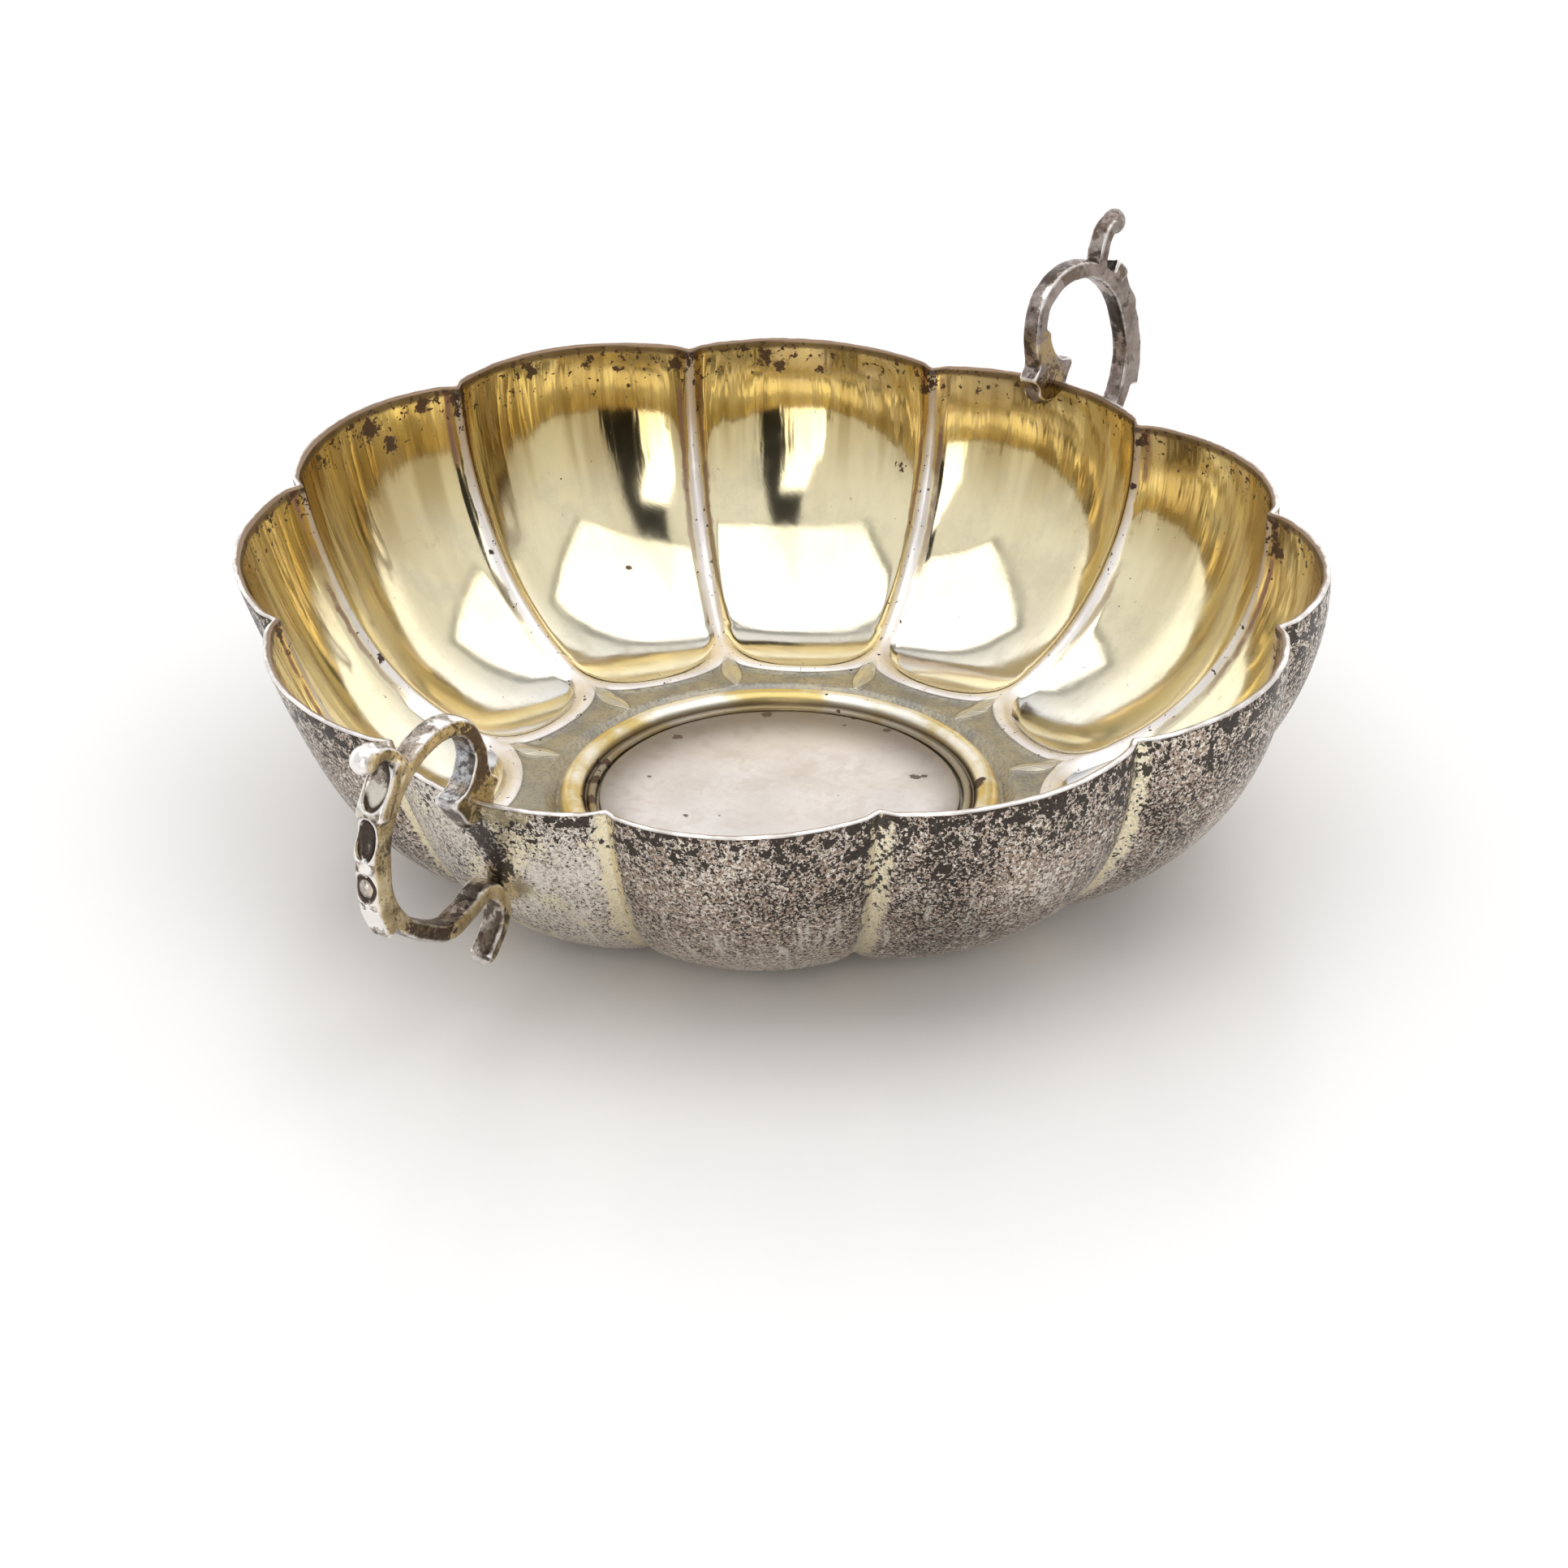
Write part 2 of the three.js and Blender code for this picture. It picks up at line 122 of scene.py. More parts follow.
# the tail's points are out from the wall's outer face
TAIL = [
    (9.8, -13.6), (5.4, -12.8), (2.2, -11.9), (0.8, -13.8), (1.5, -15.5), (3.2, -17.2), (6.0, -18.9),
    (8.2, -20.0),
]
TAIL_START = 0.7
TAIL_THINNING = 0.25
TAIL_END_HALF_WIDTH = 1.35
THUMB_PIECE = [(11.8, 8.2), (13.5, 10.6), (15.3, 11.9), (16.8, 12.1)]
THUMB_BALL = (17.5, 11.8)
THUMB_BALL_RADIUS = 1.6
CLASP = [
    (-1.4, 5.8), (-1.8, 3.6), (-2.3, 2.1), (-3.5, 0.9), (-2.7, -0.3), (-2.6, -1.5), (-1.2, -2.4),
    (1.0, -2.6), (2.2, -2.1), (3.2, -0.7), (4.2, 0.5), (3.9, 1.3), (2.2, 1.8), (1.1, 3.0), (0.5, 4.6),
    (0.4, 5.8),
]
# solder run in round the rim: [out, up] and radius
SOLDER = [(-1.5, -1.6, 1.2), (0.9, -2.2, 1.25), (-0.4, 0.2, 1.4)]
SOLDER_HALF_WIDTH = 1.5
BACK_THICKNESS = 2.2
BACK_LEAF = [(13.4, 10.4), (14.8, 7.8), (16.2, 5.6), (16.5, 4.6)]
UPPER_BACK_LEAF = [(15.2, 6.9), (16.2, 5.6), (16.5, 4.6)]
BACK_LEAF_WIDTH = 3.6
BACK = [
    (16.3, 5.4), (16.5, 4.6), (16.6, 3.0), (17.4, 1.0),
    (17.1, 0.0), (17.2, -1.6), (17.1, -3.2), (16.9, -4.6), (16.2, -6.8), (14.9, -9.0),
]
# the hollows in its back: both ends, depth and half width
SCOOPS = [
    ((13.6, 10.1), (16.3, 5.1), 0.85, 1.6),
    ((16.5, 4.7), (17.4, 0.0), 0.95, 1.3),
    ((17.0, -4.9), (14.9, -9.2), 0.3, 1.3),
]
SCOOP_LIFT = 0.1
SCOOP_FULLNESS = 0.4
BEAD_EYE = (18.2, -2.9)
BEAD_EYE_RADIUS = 0.8
BEAD_EYE_HEIGHT = 0.3
BEAD_EYE_ROUNDNESS = 0.75
# how far from a scoop's or the bead's face the back is still carved
CARVING_REACH = 1.0
BEAD_CARVING_REACH = 1.2
# how square a bar's section is: 1 is round, 0 square
SECTION_ROUNDNESS = 0.42
# the casting's unevenness, broad and fine, and how much it lies under the solid's faces
CAST_WAVE = 0.05
CAST_GRAIN = 0.02
CAST_SHRINK = 0.04
UPPER_HANDLE_RISE = 0.27
UPPER_HANDLE_WIDTH = 0.84
UPPER_HANDLE_LEAN = math.radians(9)
UPPER_HANDLE_ROLL = math.radians(-5.5)
UPPER_HANDLE_TWIST = math.radians(-4)
UPPER_HANDLE_TURN = math.radians(1.6)
UPPER_THUMB_LEAN = math.radians(9)
UPPER_THUMB_SHIFT = Vector((1.0, -1.4))

# fineness of the meshes
COLUMNS_PER_LOBE = 40
INNER_WALL_ROWS = 96
OUTER_WALL_ROWS = 56
FLOOR_ROWS = 14
COLUMN_CROWDING = 0.11
EDGE_ROWS = 10
RING_COLUMNS = 400
ROLL_ROWS = 28
BEADING_ROWS = 12
DISC_COLUMNS = 200
DISC_ROWS = 36
BAR_STEPS = 6
BAR_SEGMENTS = 28
CLASP_STEPS = 5
HANDLE_VOXEL = 0.13
RELIEF_GAIN = 6.5
# rounds of smoothing: after the castings are melted together, after the hollows, after the bead, for wear
MELTED_ROUNDS = 7
SCOOPED_ROUNDS = 3
BEAD_ROUNDS = 1
RELIEF_ROUNDS = 14

# camera of the photograph: where it looks, from how far, and its lens
CAMERA_AIM = Vector((-18.5, -13.25, 15.0)) * MM
CAMERA_DISTANCE = 748.9 * MM
CAMERA_AZIMUTH = math.radians(-55.66)
CAMERA_ELEVATION = math.radians(28.07)
CAMERA_ROLL = math.radians(-0.243)
PHOTO_WIDTH_PIXELS = 1932
FOCAL_LENGTH_PIXELS = 8500
CAMERA_FIELD = 2 * math.atan(PHOTO_WIDTH_PIXELS / 2 / FOCAL_LENGTH_PIXELS)

# the soft box overhead, in metres, placed to the camera's right and back from over the bowl
BOX_HEIGHT = 1.3
BOX_WIDTH = 2.0
BOX_DEPTH = 1.27
BOX_RIGHT = 0.13
BOX_BACK = 0.04
BOX_LEVEL = 1.46
BOX_EDGE = 1.09

# beyond the box's far edge the room is darker: from and to, as slopes back from upright
FAR_SHADE_START = 0.50
FAR_SHADE_END = 1.1

# the pale screens round the table, and the dark gap and bright strip between them: levels, and bearings
# from the camera
SCREEN_LEVEL = 1.3
GAP_LEVEL = 0.04
STRIP_LEVEL = 4.4
BACKDROP_LEVEL = 0.965
GAP_LEFT = math.radians(-15.5)
STRIP_RIGHT = math.radians(3)
STRIP_SLANT = math.radians(12)
GAP_RIGHT = math.radians(22)

TABLE_REACH = 3.0
TABLE_COLOUR = (0.91, 0.90, 0.89, 1.0)
TABLE_ROUGHNESS = 0.28


def clamp(value, low=0.0, high=1.0):
    return max(low, min(high, value))


def smooth_step(value, low, high):
    share = clamp((value - low) / (high - low))
    return share * share * (3 - 2 * share)


def evenly(start, end, steps):
    """Numbers from start to end, both included, with even steps between them."""
    return [start + (end - start) * i / steps for i in range(steps + 1)]


# Shader nodes, worked out like numbers


class Signal:
    """What a shader node puts out. Sums, differences, products and quotients of signals add nodes."""

    def __init__(self, tree, socket):
        self.tree = tree
        self.socket = socket

    def beside(self, out):
        """Another output of the same node."""
        return Signal(self.tree, self.socket.node.outputs[out])

    def __add__(self, other):
        return maths("ADD", self, other)

    def __sub__(self, other):
        return maths("SUBTRACT", self, other)

    def __rsub__(self, other):
        return maths("SUBTRACT", other, self)

    def __mul__(self, other):
        return maths("MULTIPLY", self, other)

    def __truediv__(self, other):
        return maths("DIVIDE", self, other)

    def __abs__(self):
        return maths("ABSOLUTE", self)

    __radd__ = __add__
    __rmul__ = __mul__


def tree_of(*values):
    """The node tree of the first signal among some values."""
    return next(value.tree for value in values if isinstance(value, Signal))


def fill(tree, node, inputs):
    """Gives a node's inputs their numbers, colours or signals."""
    for key, value in inputs.items():
        if isinstance(value, Signal):
            tree.links.new(value.socket, node.inputs[key])
        else:
            node.inputs[key].default_value = value


def add_node(tree, kind, inputs, out, **settings):
    """Adds a node with its settings and inputs, and hands back one of its outputs."""
    node = tree.nodes.new(kind)
    for name, value in settings.items():
        setattr(node, name, value)
    fill(tree, node, inputs)
    return Signal(tree, node.outputs[out])


def maths(operation, first, second=0.0, limit=False):
    inputs = {0: first, 1: second}
    return add_node(tree_of(first, second), "ShaderNodeMath", inputs, 0, operation=operation, use_clamp=limit)


def larger(first, *others):
    for other in others:
        first = maths("MAXIMUM", first, other)
    return first


def blur_step(value, low, high, start=0.0, end=1.0, blend="SMOOTHSTEP"):
    """A soft threshold: start below low, end above high."""
    inputs = {"Value": value, "From Min": low, "From Max": high, "To Min": start, "To Max": end}
    return add_node(value.tree, "ShaderNodeMapRange", inputs, "Result", interpolation_type=blend)


def straight_step(value, low, high, start, end):
    return blur_step(value, low, high, start, end, "LINEAR")


def colour_mix(share, first, second):
    inputs = {0: share, 6: first, 7: second}
    return add_node(tree_of(share, first, second), "ShaderNodeMix", inputs, 2, data_type="RGBA")


def layered(colour, *layers):
    """Lays tones over a colour one after another, each with its share."""
    for share, tone in layers:
        colour = colour_mix(share, colour, tone)
    return colour


def grain(vector, scale, detail=3.0, roughness=0.55, distortion=0.0):
    """Fractal noise, 0 to 1, about 0.5."""
    inputs = {"Vector": vector, "Scale": scale, "Detail": detail, "Roughness": roughness}
    return add_node(vector.tree, "ShaderNodeTexNoise", {**inputs, "Distortion": distortion}, "Fac")


def cells(vector, scale):
    """How far a place is from the nearest of many scattered points."""
    return add_node(vector.tree, "ShaderNodeTexVoronoi", {"Vector": vector, "Scale": scale}, "Distance")


def distance(vector, centre):
    inputs = {0: vector, 1: centre}
    return add_node(vector.tree, "ShaderNodeVectorMath", inputs, "Value", operation="DISTANCE")


def stretched(vector, scale, turn=(0.0, 0.0, 0.0)):
    """The same place measured with other scales along the three axes."""
    inputs = {"Vector": vector, "Scale": scale, "Rotation": turn}
    return add_node(vector.tree, "ShaderNodeMapping", inputs, "Vector")


def attribute(tree, name, out="Fac"):
    return add_node(tree, "ShaderNodeAttribute", {}, out, attribute_name=name)


def coordinate(vector, axis):
    return add_node(vector.tree, "ShaderNodeSeparateXYZ", {0: vector}, axis)


def new_group(name, **inputs):
    """A shader group and its inputs: a number has the value given, and one without a value is a vector."""
    tree = bpy.data.node_groups.new(name, "ShaderNodeTree")
    for key, value in inputs.items():
        kind = "NodeSocketVector" if value is None else "NodeSocketFloat"
        socket = tree.interface.new_socket(key, in_out="INPUT", socket_type=kind)
        if value is not None:
            socket.default_value = value
    given = tree.nodes.new("NodeGroupInput").outputs
    return tree, [Signal(tree, given[key]) for key in inputs]


def give_out(tree, **outputs):
    """Ends a shader group with its named outputs."""
    for key in outputs:
        tree.interface.new_socket(key, in_out="OUTPUT", socket_type="NodeSocketFloat")
    end = tree.nodes.new("NodeGroupOutput")
    fill(tree, end, outputs)
    return tree


def new_metal(name):
    """A new metal, its node tree, and the place on the piece in metres."""
    metal = bpy.data.materials.new(name)
    metal.use_nodes = True
    tree = metal.node_tree
    return metal, tree, add_node(tree, "ShaderNodeTexCoord", {}, "Object")


def finished_metal(metal, colour, roughness, height, depth):
    """Feeds a metal's shader with its colour, its roughness and, from a height, its bumps."""
    tree = metal.node_tree
    shader = tree.nodes["Principled BSDF"]
    bumps = add_node(tree, "ShaderNodeBump", {"Height": height, "Distance": depth, "Strength": 1.0}, "Normal")
    fill(tree, shader, {"Base Color": colour, "Roughness": roughness, "Normal": bumps, "Metallic": 1.0})
    return metal


# Effects that several finishes share


def tarnish_group():
    """Dark stains with eaten edges, and the bright line round them. Coverage runs from 0 to 1, all over."""
    tree, (place, scale, coverage, softness) = new_group(
        "Tarnish", Vector=None, Scale=400.0, Coverage=0.5, Softness=0.04
    )
    coarse = grain(place, scale, detail=2.5, roughness=0.6, distortion=0.15)
    fine = grain(place, scale * 3.1, detail=2.0, roughness=0.6)
    above = coarse * 0.75 + fine * 0.25 - straight_step(coverage, 0.0, 1.0, 0.7, 0.3)
    mask = blur_step(above / softness, -0.5, 0.5)
    near = blur_step(above / softness, -2.0, -0.8)
    return give_out(tree, Mask=mask, Halo=maths("SUBTRACT", near, mask, limit=True))


def specks_group():
    """Small separate dots, such as pits and spots. Amount is the share of cells that hold one."""
    tree, (place, scale, amount, size) = new_group("Specks", Vector=None, Scale=600.0, Amount=0.3, Size=0.3)
    wobble = grain(place, scale * 3.0, detail=2.0)
    away = cells(place, scale)
    draw = add_node(tree, "ShaderNodeSeparateColor", {0: away.beside("Color")}, "Red")
    ragged = away + wobble * 0.25
    dot = blur_step(ragged / (size * (draw.beside("Green") + 0.4)), 0.75, 1.1, 1.0, 0.0)
    return give_out(tree, Mask=dot * maths("LESS_THAN", draw, amount))


def scratches_group():
    """Fine hairline scratches in two directions."""
    tree, (place, scale, amount) = new_group("Scratches", Vector=None, Scale=900.0, Amount=0.5)
    lines = []
    for turn in ((0.2, 0.5, 0.9), (1.1, 0.3, 2.2)):
        along = stretched(place, (1.0, 0.05, 0.3), turn)
        level = grain(along, scale, detail=2.0, roughness=0.6, distortion=0.1)
        lines.append(blur_step(abs(level - 0.5), 0.0, 0.02, 1.0, 0.0))
    return give_out(tree, Mask=larger(*lines) * amount)


def mark_group():
    """One ragged spot round a centre, such as a stain or a worn place."""
    tree, (place, centre, radius, raggedness) = new_group(
        "Mark", Vector=None, Centre=None, Radius=0.001, Raggedness=1.6
    )
    eaten = grain(place, 1300.0, detail=3.0, roughness=0.68) - 0.5
    reach = distance(place, centre) / radius + eaten * raggedness
    return give_out(tree, Mask=blur_step(reach, 0.6, 0.95, 1.0, 0.0))


def centre_shade_group():
    """Painted shade, brown, that thickens towards the far edge of the disc and the ring's beading there: the
    ring's inner wall as it shows dark in the disc, and the shaded inner side of the beading.
    """
    tree, (place, unevenness) = new_group("CentreShade", Vector=None, Unevenness=0.5)
    away = distance(place, CENTRE_SHADE_MIDDLE) + unevenness * 0.003
    return give_out(tree, Mask=blur_step(away, CENTRE_SHADE_START, CENTRE_SHADE_END, 0.0, 0.8))


TARNISH = tarnish_group()
SPECKS = specks_group()
SCRATCHES = scratches_group()
MARK = mark_group()
CENTRE_SHADE = centre_shade_group()


def effect(group, vector, **inputs):
    """Places a shared effect in a metal, with its own values."""
    return add_node(vector.tree, "ShaderNodeGroup", {"Vector": vector, **inputs}, "Mask", node_tree=group)


def tarnish(vector, scale, coverage, softness=0.04):
    return effect(TARNISH, vector, Scale=scale, Coverage=coverage, Softness=softness)


def specks(vector, scale, amount, size):
    return effect(SPECKS, vector, Scale=scale, Amount=amount, Size=size)


def scratches(vector, scale, amount):
    return effect(SCRATCHES, vector, Scale=scale, Amount=amount)


def marks(place, spots, raggedness=1.6):
    """All the ragged spots of a list of centres and radii, in millimetres."""
    mask = 0.0
    for centre, radius in spots:
        spot = effect(MARK, place, Centre=Vector(centre) * MM, Radius=radius * MM, Raggedness=raggedness)
        mask = larger(mask, spot)
    return mask


# The raised sheet


def wall_point(t):
    """Radius, height and outward normal of the sheet's inner face along a rib, for an angle t up the wall."""
    run = RIM_RADIUS - LOBE_END_RADIUS
    rise = RIM_HEIGHT - FLOOR_LEVEL
    normal = Vector((rise * math.sin(t), -run * math.cos(t))).normalized()
    height = RIM_HEIGHT - rise * max(0.0, math.cos(t)) ** WALL_FULLNESS
    return LOBE_END_RADIUS + run * math.sin(t), height, normal


def lobe_reach(r, away):
    """How far a place is from the middle of its lobe: 0 in the middle, 1 on the border line."""
    if r >= LOBE_ROUND_RADIUS:
        return away / HALF_LOBE
    along = (LOBE_ROUND_RADIUS - r) / LOBE_END_LENGTH
    across = r * math.sin(away) / (LOBE_ROUND_RADIUS * math.sin(HALF_LOBE))
    return math.hypot(along, across)


def rib(r, reach):
    """Share of the border's height at a place, 1 on its crest."""
    span = r * HALF_LOBE if r >= LOBE_ROUND_RADIUS else LOBE_END_LENGTH
    off = abs(reach - 1) * span / RIB_FLANK
    return math.cos(off * math.pi / 2) ** 2 if off < 1 else 0.0


def push(r, away):
    """Outward push of the sheet: the lobe's hollow less the raised border."""
    reach = lobe_reach(r, away)
    climb = clamp((r - LOBE_ROUND_RADIUS) / (RIM_RADIUS - LOBE_ROUND_RADIUS))
    depth = LOBE_DEPTH_LOW + (LOBE_DEPTH_RIM - LOBE_DEPTH_LOW) * climb * climb
    hollow = depth * (1 - reach * reach) if reach < 1 else 0.0
    return hollow - RIB_HEIGHT * rib(r, reach)


def leaf(r, away):
    """Share of the leaf's height at a place, 1 in its middle."""
    along = (r - LEAF_MIDDLE_RADIUS) / (LEAF_LENGTH / 2)
    across = r * (HALF_LOBE - away) / (LEAF_WIDTH / 2)
    return max(0.0, 1 - along * along) * max(0.0, 1 - across * across)


def out_of_true(p):
    """The rim sags at the handles and leans towards one of them, and the mouth is narrower along them."""
    angle = math.atan2(p.y, p.x)
    share = max(0.0, p.z - FLOOR_LEVEL) / (RIM_HEIGHT - FLOOR_LEVEL)
    facing = math.cos(angle - WAIST_ANGLE)
    waist = 4 * share * (1 - share) * (WAIST_SQUEEZE * facing * facing + WAIST_SHIFT * facing)
    squeeze = 1 - RIM_SQUEEZE * math.cos(2 * angle) * share - waist
    lift = RIM_TILT * share * p.x / RIM_RADIUS - RIM_DIP * math.cos(2 * angle) * share * share
    return Vector((p.x * squeeze, p.y * squeeze, p.z + lift))


def wall_length():
    """Length of the blank that becomes the wall."""
    points = [Vector(wall_point(t)[:2]) for t in evenly(0.0, math.pi / 2, 200)]
    return sum((b - a).length for a, b in zip(points, points[1:]))


WALL_LENGTH = wall_length()
BLANK_RADIUS = LOBE_END_RADIUS + WALL_LENGTH


def planishing(r, angle, climb):
    """Unevenness left by the hammer: broad dents, and flutes that run up the wall near the rim."""
    x, y = r * math.cos(angle), r * math.sin(angle)
    dents = noise.noise(Vector((x / DENT_SIZE, y / DENT_SIZE, climb * 4.0)))
    flutes = noise.noise(Vector((angle * FLUTE_CROWDING, climb * 1.6, 3.7)))
    ripples = noise.noise(Vector((x / RIPPLE_SIZE, y / RIPPLE_SIZE, 9.1 + climb * 9.0)))
    narrow = noise.noise(Vector((angle * NARROW_FLUTE_CROWDING, climb * 1.6, 8.1)))
    steep = smooth_step(climb, 0.6, 0.9)
    hammered = DENT_DEPTH * dents * (1 - 0.85 * steep) + RIPPLE_DEPTH * ripples * (1 - steep)
    return hammered + (FLUTE_DEPTH * flutes + NARROW_FLUTE_DEPTH * narrow - FLUTED_INWARDS) * steep


def turned(profile, columns):
    """A closed body of revolution from its [radius, height] profile."""
    shape = bmesh.new()
    verts = [shape.verts.new((r, 0.0, z)) for r, z in profile]
    edges = [shape.edges.new(pair) for pair in zip(verts, verts[1:])]
    bmesh.ops.spin(
        shape,
        geom=verts + edges,
        cent=(0, 0, 0),
        axis=(0, 0, 1),
        angle=2 * math.pi,
        steps=columns,
        use_merge=True,
    )
    bmesh.ops.remove_doubles(shape, verts=shape.verts, dist=1e-5)
    bmesh.ops.recalc_face_normals(shape, faces=shape.faces)
    return shape


def blank():
    """The flat disc that the bowl is raised from: its radius is measured along the finished inner face, z is
    depth into the sheet, and its edge is rounded."""
    flat = BLANK_RADIUS - EDGE_ROUNDING
    step_end = FOOT_RADIUS + STEP_RUN
    # rows close to both ends of the step keep it crisp
    foot = [0.0, FOOT_RADIUS / 2, FOOT_RADIUS - 0.3, FOOT_RADIUS, FOOT_RADIUS + 0.2, step_end - 0.25]
    floor = evenly(step_end, LOBE_END_RADIUS, FLOOR_ROWS)[:-1]
    inner = evenly(LOBE_END_RADIUS, flat, INNER_WALL_ROWS)
    edge = evenly(0.0, math.pi, EDGE_ROWS)[1:-1]
    outer = evenly(LOBE_END_RADIUS, flat, OUTER_WALL_ROWS)
    outer = [FOOT_RADIUS / 2, FOOT_RADIUS + STEP_SPREAD, step_end + STEP_SPREAD, *outer]
    profile = [(s, 0.0) for s in foot + floor + inner]
    profile += [(flat + EDGE_ROUNDING * math.sin(a), SHEET * (1 - math.cos(a)) / 2) for a in edge]
    profile += [(s, SHEET) for s in reversed(outer)]
    return turned(profile + [(0.0, SHEET)], LOBES * COLUMNS_PER_LOBE)


def raise_point(p):
    """Where a point of the blank comes to in the finished sheet, and the marks that its finish follows."""
    s = math.hypot(p.x, p.y)
    turn = math.atan2(p.y, p.x)
    lobe = round(turn / (2 * HALF_LOBE))
    share = (turn - 2 * lobe * HALF_LOBE) / HALF_LOBE
    share += COLUMN_CROWDING * math.sin(math.pi * share)
    away = share * HALF_LOBE
    angle = 2 * lobe * HALF_LOBE + away
    depth = p.z
    climb = clamp((s - LOBE_END_RADIUS) / WALL_LENGTH)
    spread = RIM_RADIUS * min(1.0, s / LOBE_END_RADIUS)
    rolled = Vector((spread * math.cos(angle), spread * math.sin(angle), climb * WALL_LENGTH))
    step_end = FOOT_RADIUS + STEP_RUN
    if s < step_end or (depth > 0.5 * SHEET and s <= step_end + STEP_SPREAD):
        return foot_point(s, turn, depth), {"climb": 0.0, "reach": 2.0, "border": 0.0, "rolled": rolled}
    if s <= LOBE_END_RADIUS:
        r, z, normal = s, FLOOR_LEVEL, Vector((0.0, -1.0))
    else:
        r, z, normal = wall_point(math.pi / 2 * climb)
    reach = lobe_reach(r, abs(away))
    relief = LEAF_HEIGHT * leaf(r, abs(away)) * (1 - depth / SHEET)
    hammered = planishing(r, angle, climb) * smooth_step(s, HAMMERED_FROM, HAMMERED_FULLY)
    out = push(r, abs(away)) + depth - relief + hammered
    leaf_along = (r - LEAF_MIDDLE_RADIUS) / (LEAF_LENGTH / 2)
    leaf_across = r * math.copysign(HALF_LOBE - abs(away), away) / (LEAF_WIDTH / 2)
    found = {
        "climb": climb,
        "reach": reach,
        "border": rib(r, reach),
        "rolled": rolled,
        "leaf": Vector((leaf_along, leaf_across, 1.0)),
    }
    r += normal.x * out
    z += normal.y * out
    return out_of_true(Vector((r * math.cos(angle), r * math.sin(angle), z))), found


def foot_point(s, turn, depth):
    """The flat middle of the bowl: the foot, and the step up to the matted floor."""
    inner = depth < 0.5 * SHEET
    start = FOOT_RADIUS if inner else FOOT_RADIUS + STEP_SPREAD
    rise = FLOOR_LEVEL - SHEET
    low = SHEET if inner else 0.0
    z = low + rise * clamp((s - start) / STEP_RUN)
    return Vector((s * math.cos(turn), s * math.sin(turn), z))


def linked(name, shape, materials):
    """Puts a bmesh into the scene as an object."""
    mesh = bpy.data.meshes.new(name)
    shape.to_mesh(mesh)
    shape.free()
    for material in materials:
        mesh.materials.append(material)
    item = bpy.data.objects.new(name, mesh)
    bpy.context.scene.collection.objects.link(item)
    return item


def link_piece(shape, name, node, materials):
    """Finishes a bmesh in millimetres as a piece that stands for a solid of the frame."""
    bmesh.ops.scale(shape, vec=(MM, MM, MM), verts=shape.verts)
    piece = linked(name, shape, materials)
    piece.data.shade_smooth()
    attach(piece, "root")
    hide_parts(node)


def raised_bowl(materials):
    shape = blank()
    numbers = {name: shape.verts.layers.float.new(name) for name in ("climb", "reach", "border", "depth")}
    vectors = {name: shape.verts.layers.float_vector.new(name) for name in ("rolled", "leaf")}
    layers = {**numbers, **vectors}
    for vert in shape.verts:
        vert[layers["depth"]] = vert.co.z / SHEET
        vert[layers["leaf"]] = Vector((2.0, 2.0, 0.0))
        vert.co, found = raise_point(vert.co)
        for name, value in found.items():
            vert[layers[name]] = value
    bmesh.ops.recalc_face_normals(shape, faces=shape.faces)
    for face in shape.faces:
        depth = sum(v[layers["depth"]] for v in face.verts) / len(face.verts)
        inside, outside = depth < 0.02, depth > 0.98
        face.material_index = 0 if inside else 1 if outside else 2
    link_piece(shape, "raised_sheet", "bowl", materials)


# The ring and the disc in the floor


def half_round(outer, width, foot, height, rows, share):
    """The [radius, height] outline of a half-round wire on its foot, from its outer side over the top."""
    points = []
    for a in evenly(0.0, math.pi * share, rows):
        radius = outer - width / 2 + width / 2 * math.cos(a)
        points.append((radius, SHEET + foot + (height - foot) * math.sin(a)))
    return points


def moulded_ring(material):
    bore = RING_OUTER_RADIUS - RING_WIDTH
    roll = half_round(RING_OUTER_RADIUS, ROLL_WIDTH, ROLL_FOOT, ROLL_HEIGHT, ROLL_ROWS, ROLL_ROUND)
    beading = half_round(bore + BEADING_WIDTH, BEADING_WIDTH, BEADING_FOOT, BEADING_HEIGHT, BEADING_ROWS, 1)
    profile = [(bore, SHEET), (RING_OUTER_RADIUS, SHEET), *roll, *beading, (bore, SHEET)]
    shape = turned(profile, RING_COLUMNS)
    for vert in shape.verts:
        vert.co = worn_ring_point(vert.co)
    link_piece(shape, "moulded_ring", "centre_ring", [material])


def worn_ring_point(p):
    """The wire was bent and hammered by hand, so its roll is a little uneven along its length."""
    if p.z < SHEET + 0.3:
        return p
    angle = math.atan2(p.y, p.x)
    wave = noise.noise(Vector((math.cos(angle) * 5, math.sin(angle) * 5, 1.0)))
    dent = noise.noise(p * 0.9)
    return Vector((p.x, p.y, p.z + RING_WAVE * wave + RING_DENT * dent - RING_WAVE))


def plain_disc(material):
    top = SHEET + DISC_THICKNESS
    flat = [(r, top) for r in evenly(DISC_RADIUS - DISC_BEVEL, 0.0, DISC_ROWS)]
    edge = [(DISC_RADIUS, top - DISC_BEVEL), (DISC_RADIUS - 0.3 * DISC_BEVEL, top - 0.3 * DISC_BEVEL)]
    shape = turned([(0.0, SHEET), (DISC_RADIUS, SHEET), *edge, *flat], DISC_COLUMNS)
    for vert in shape.verts:
        if vert.co.z > SHEET + 0.4:
            vert.co.z += DISC_WAVE * noise.noise(vert.co * 0.16) - DISC_WAVE
    link_piece(shape, "plain_disc", "centre_disc", [material])


# The cast handles


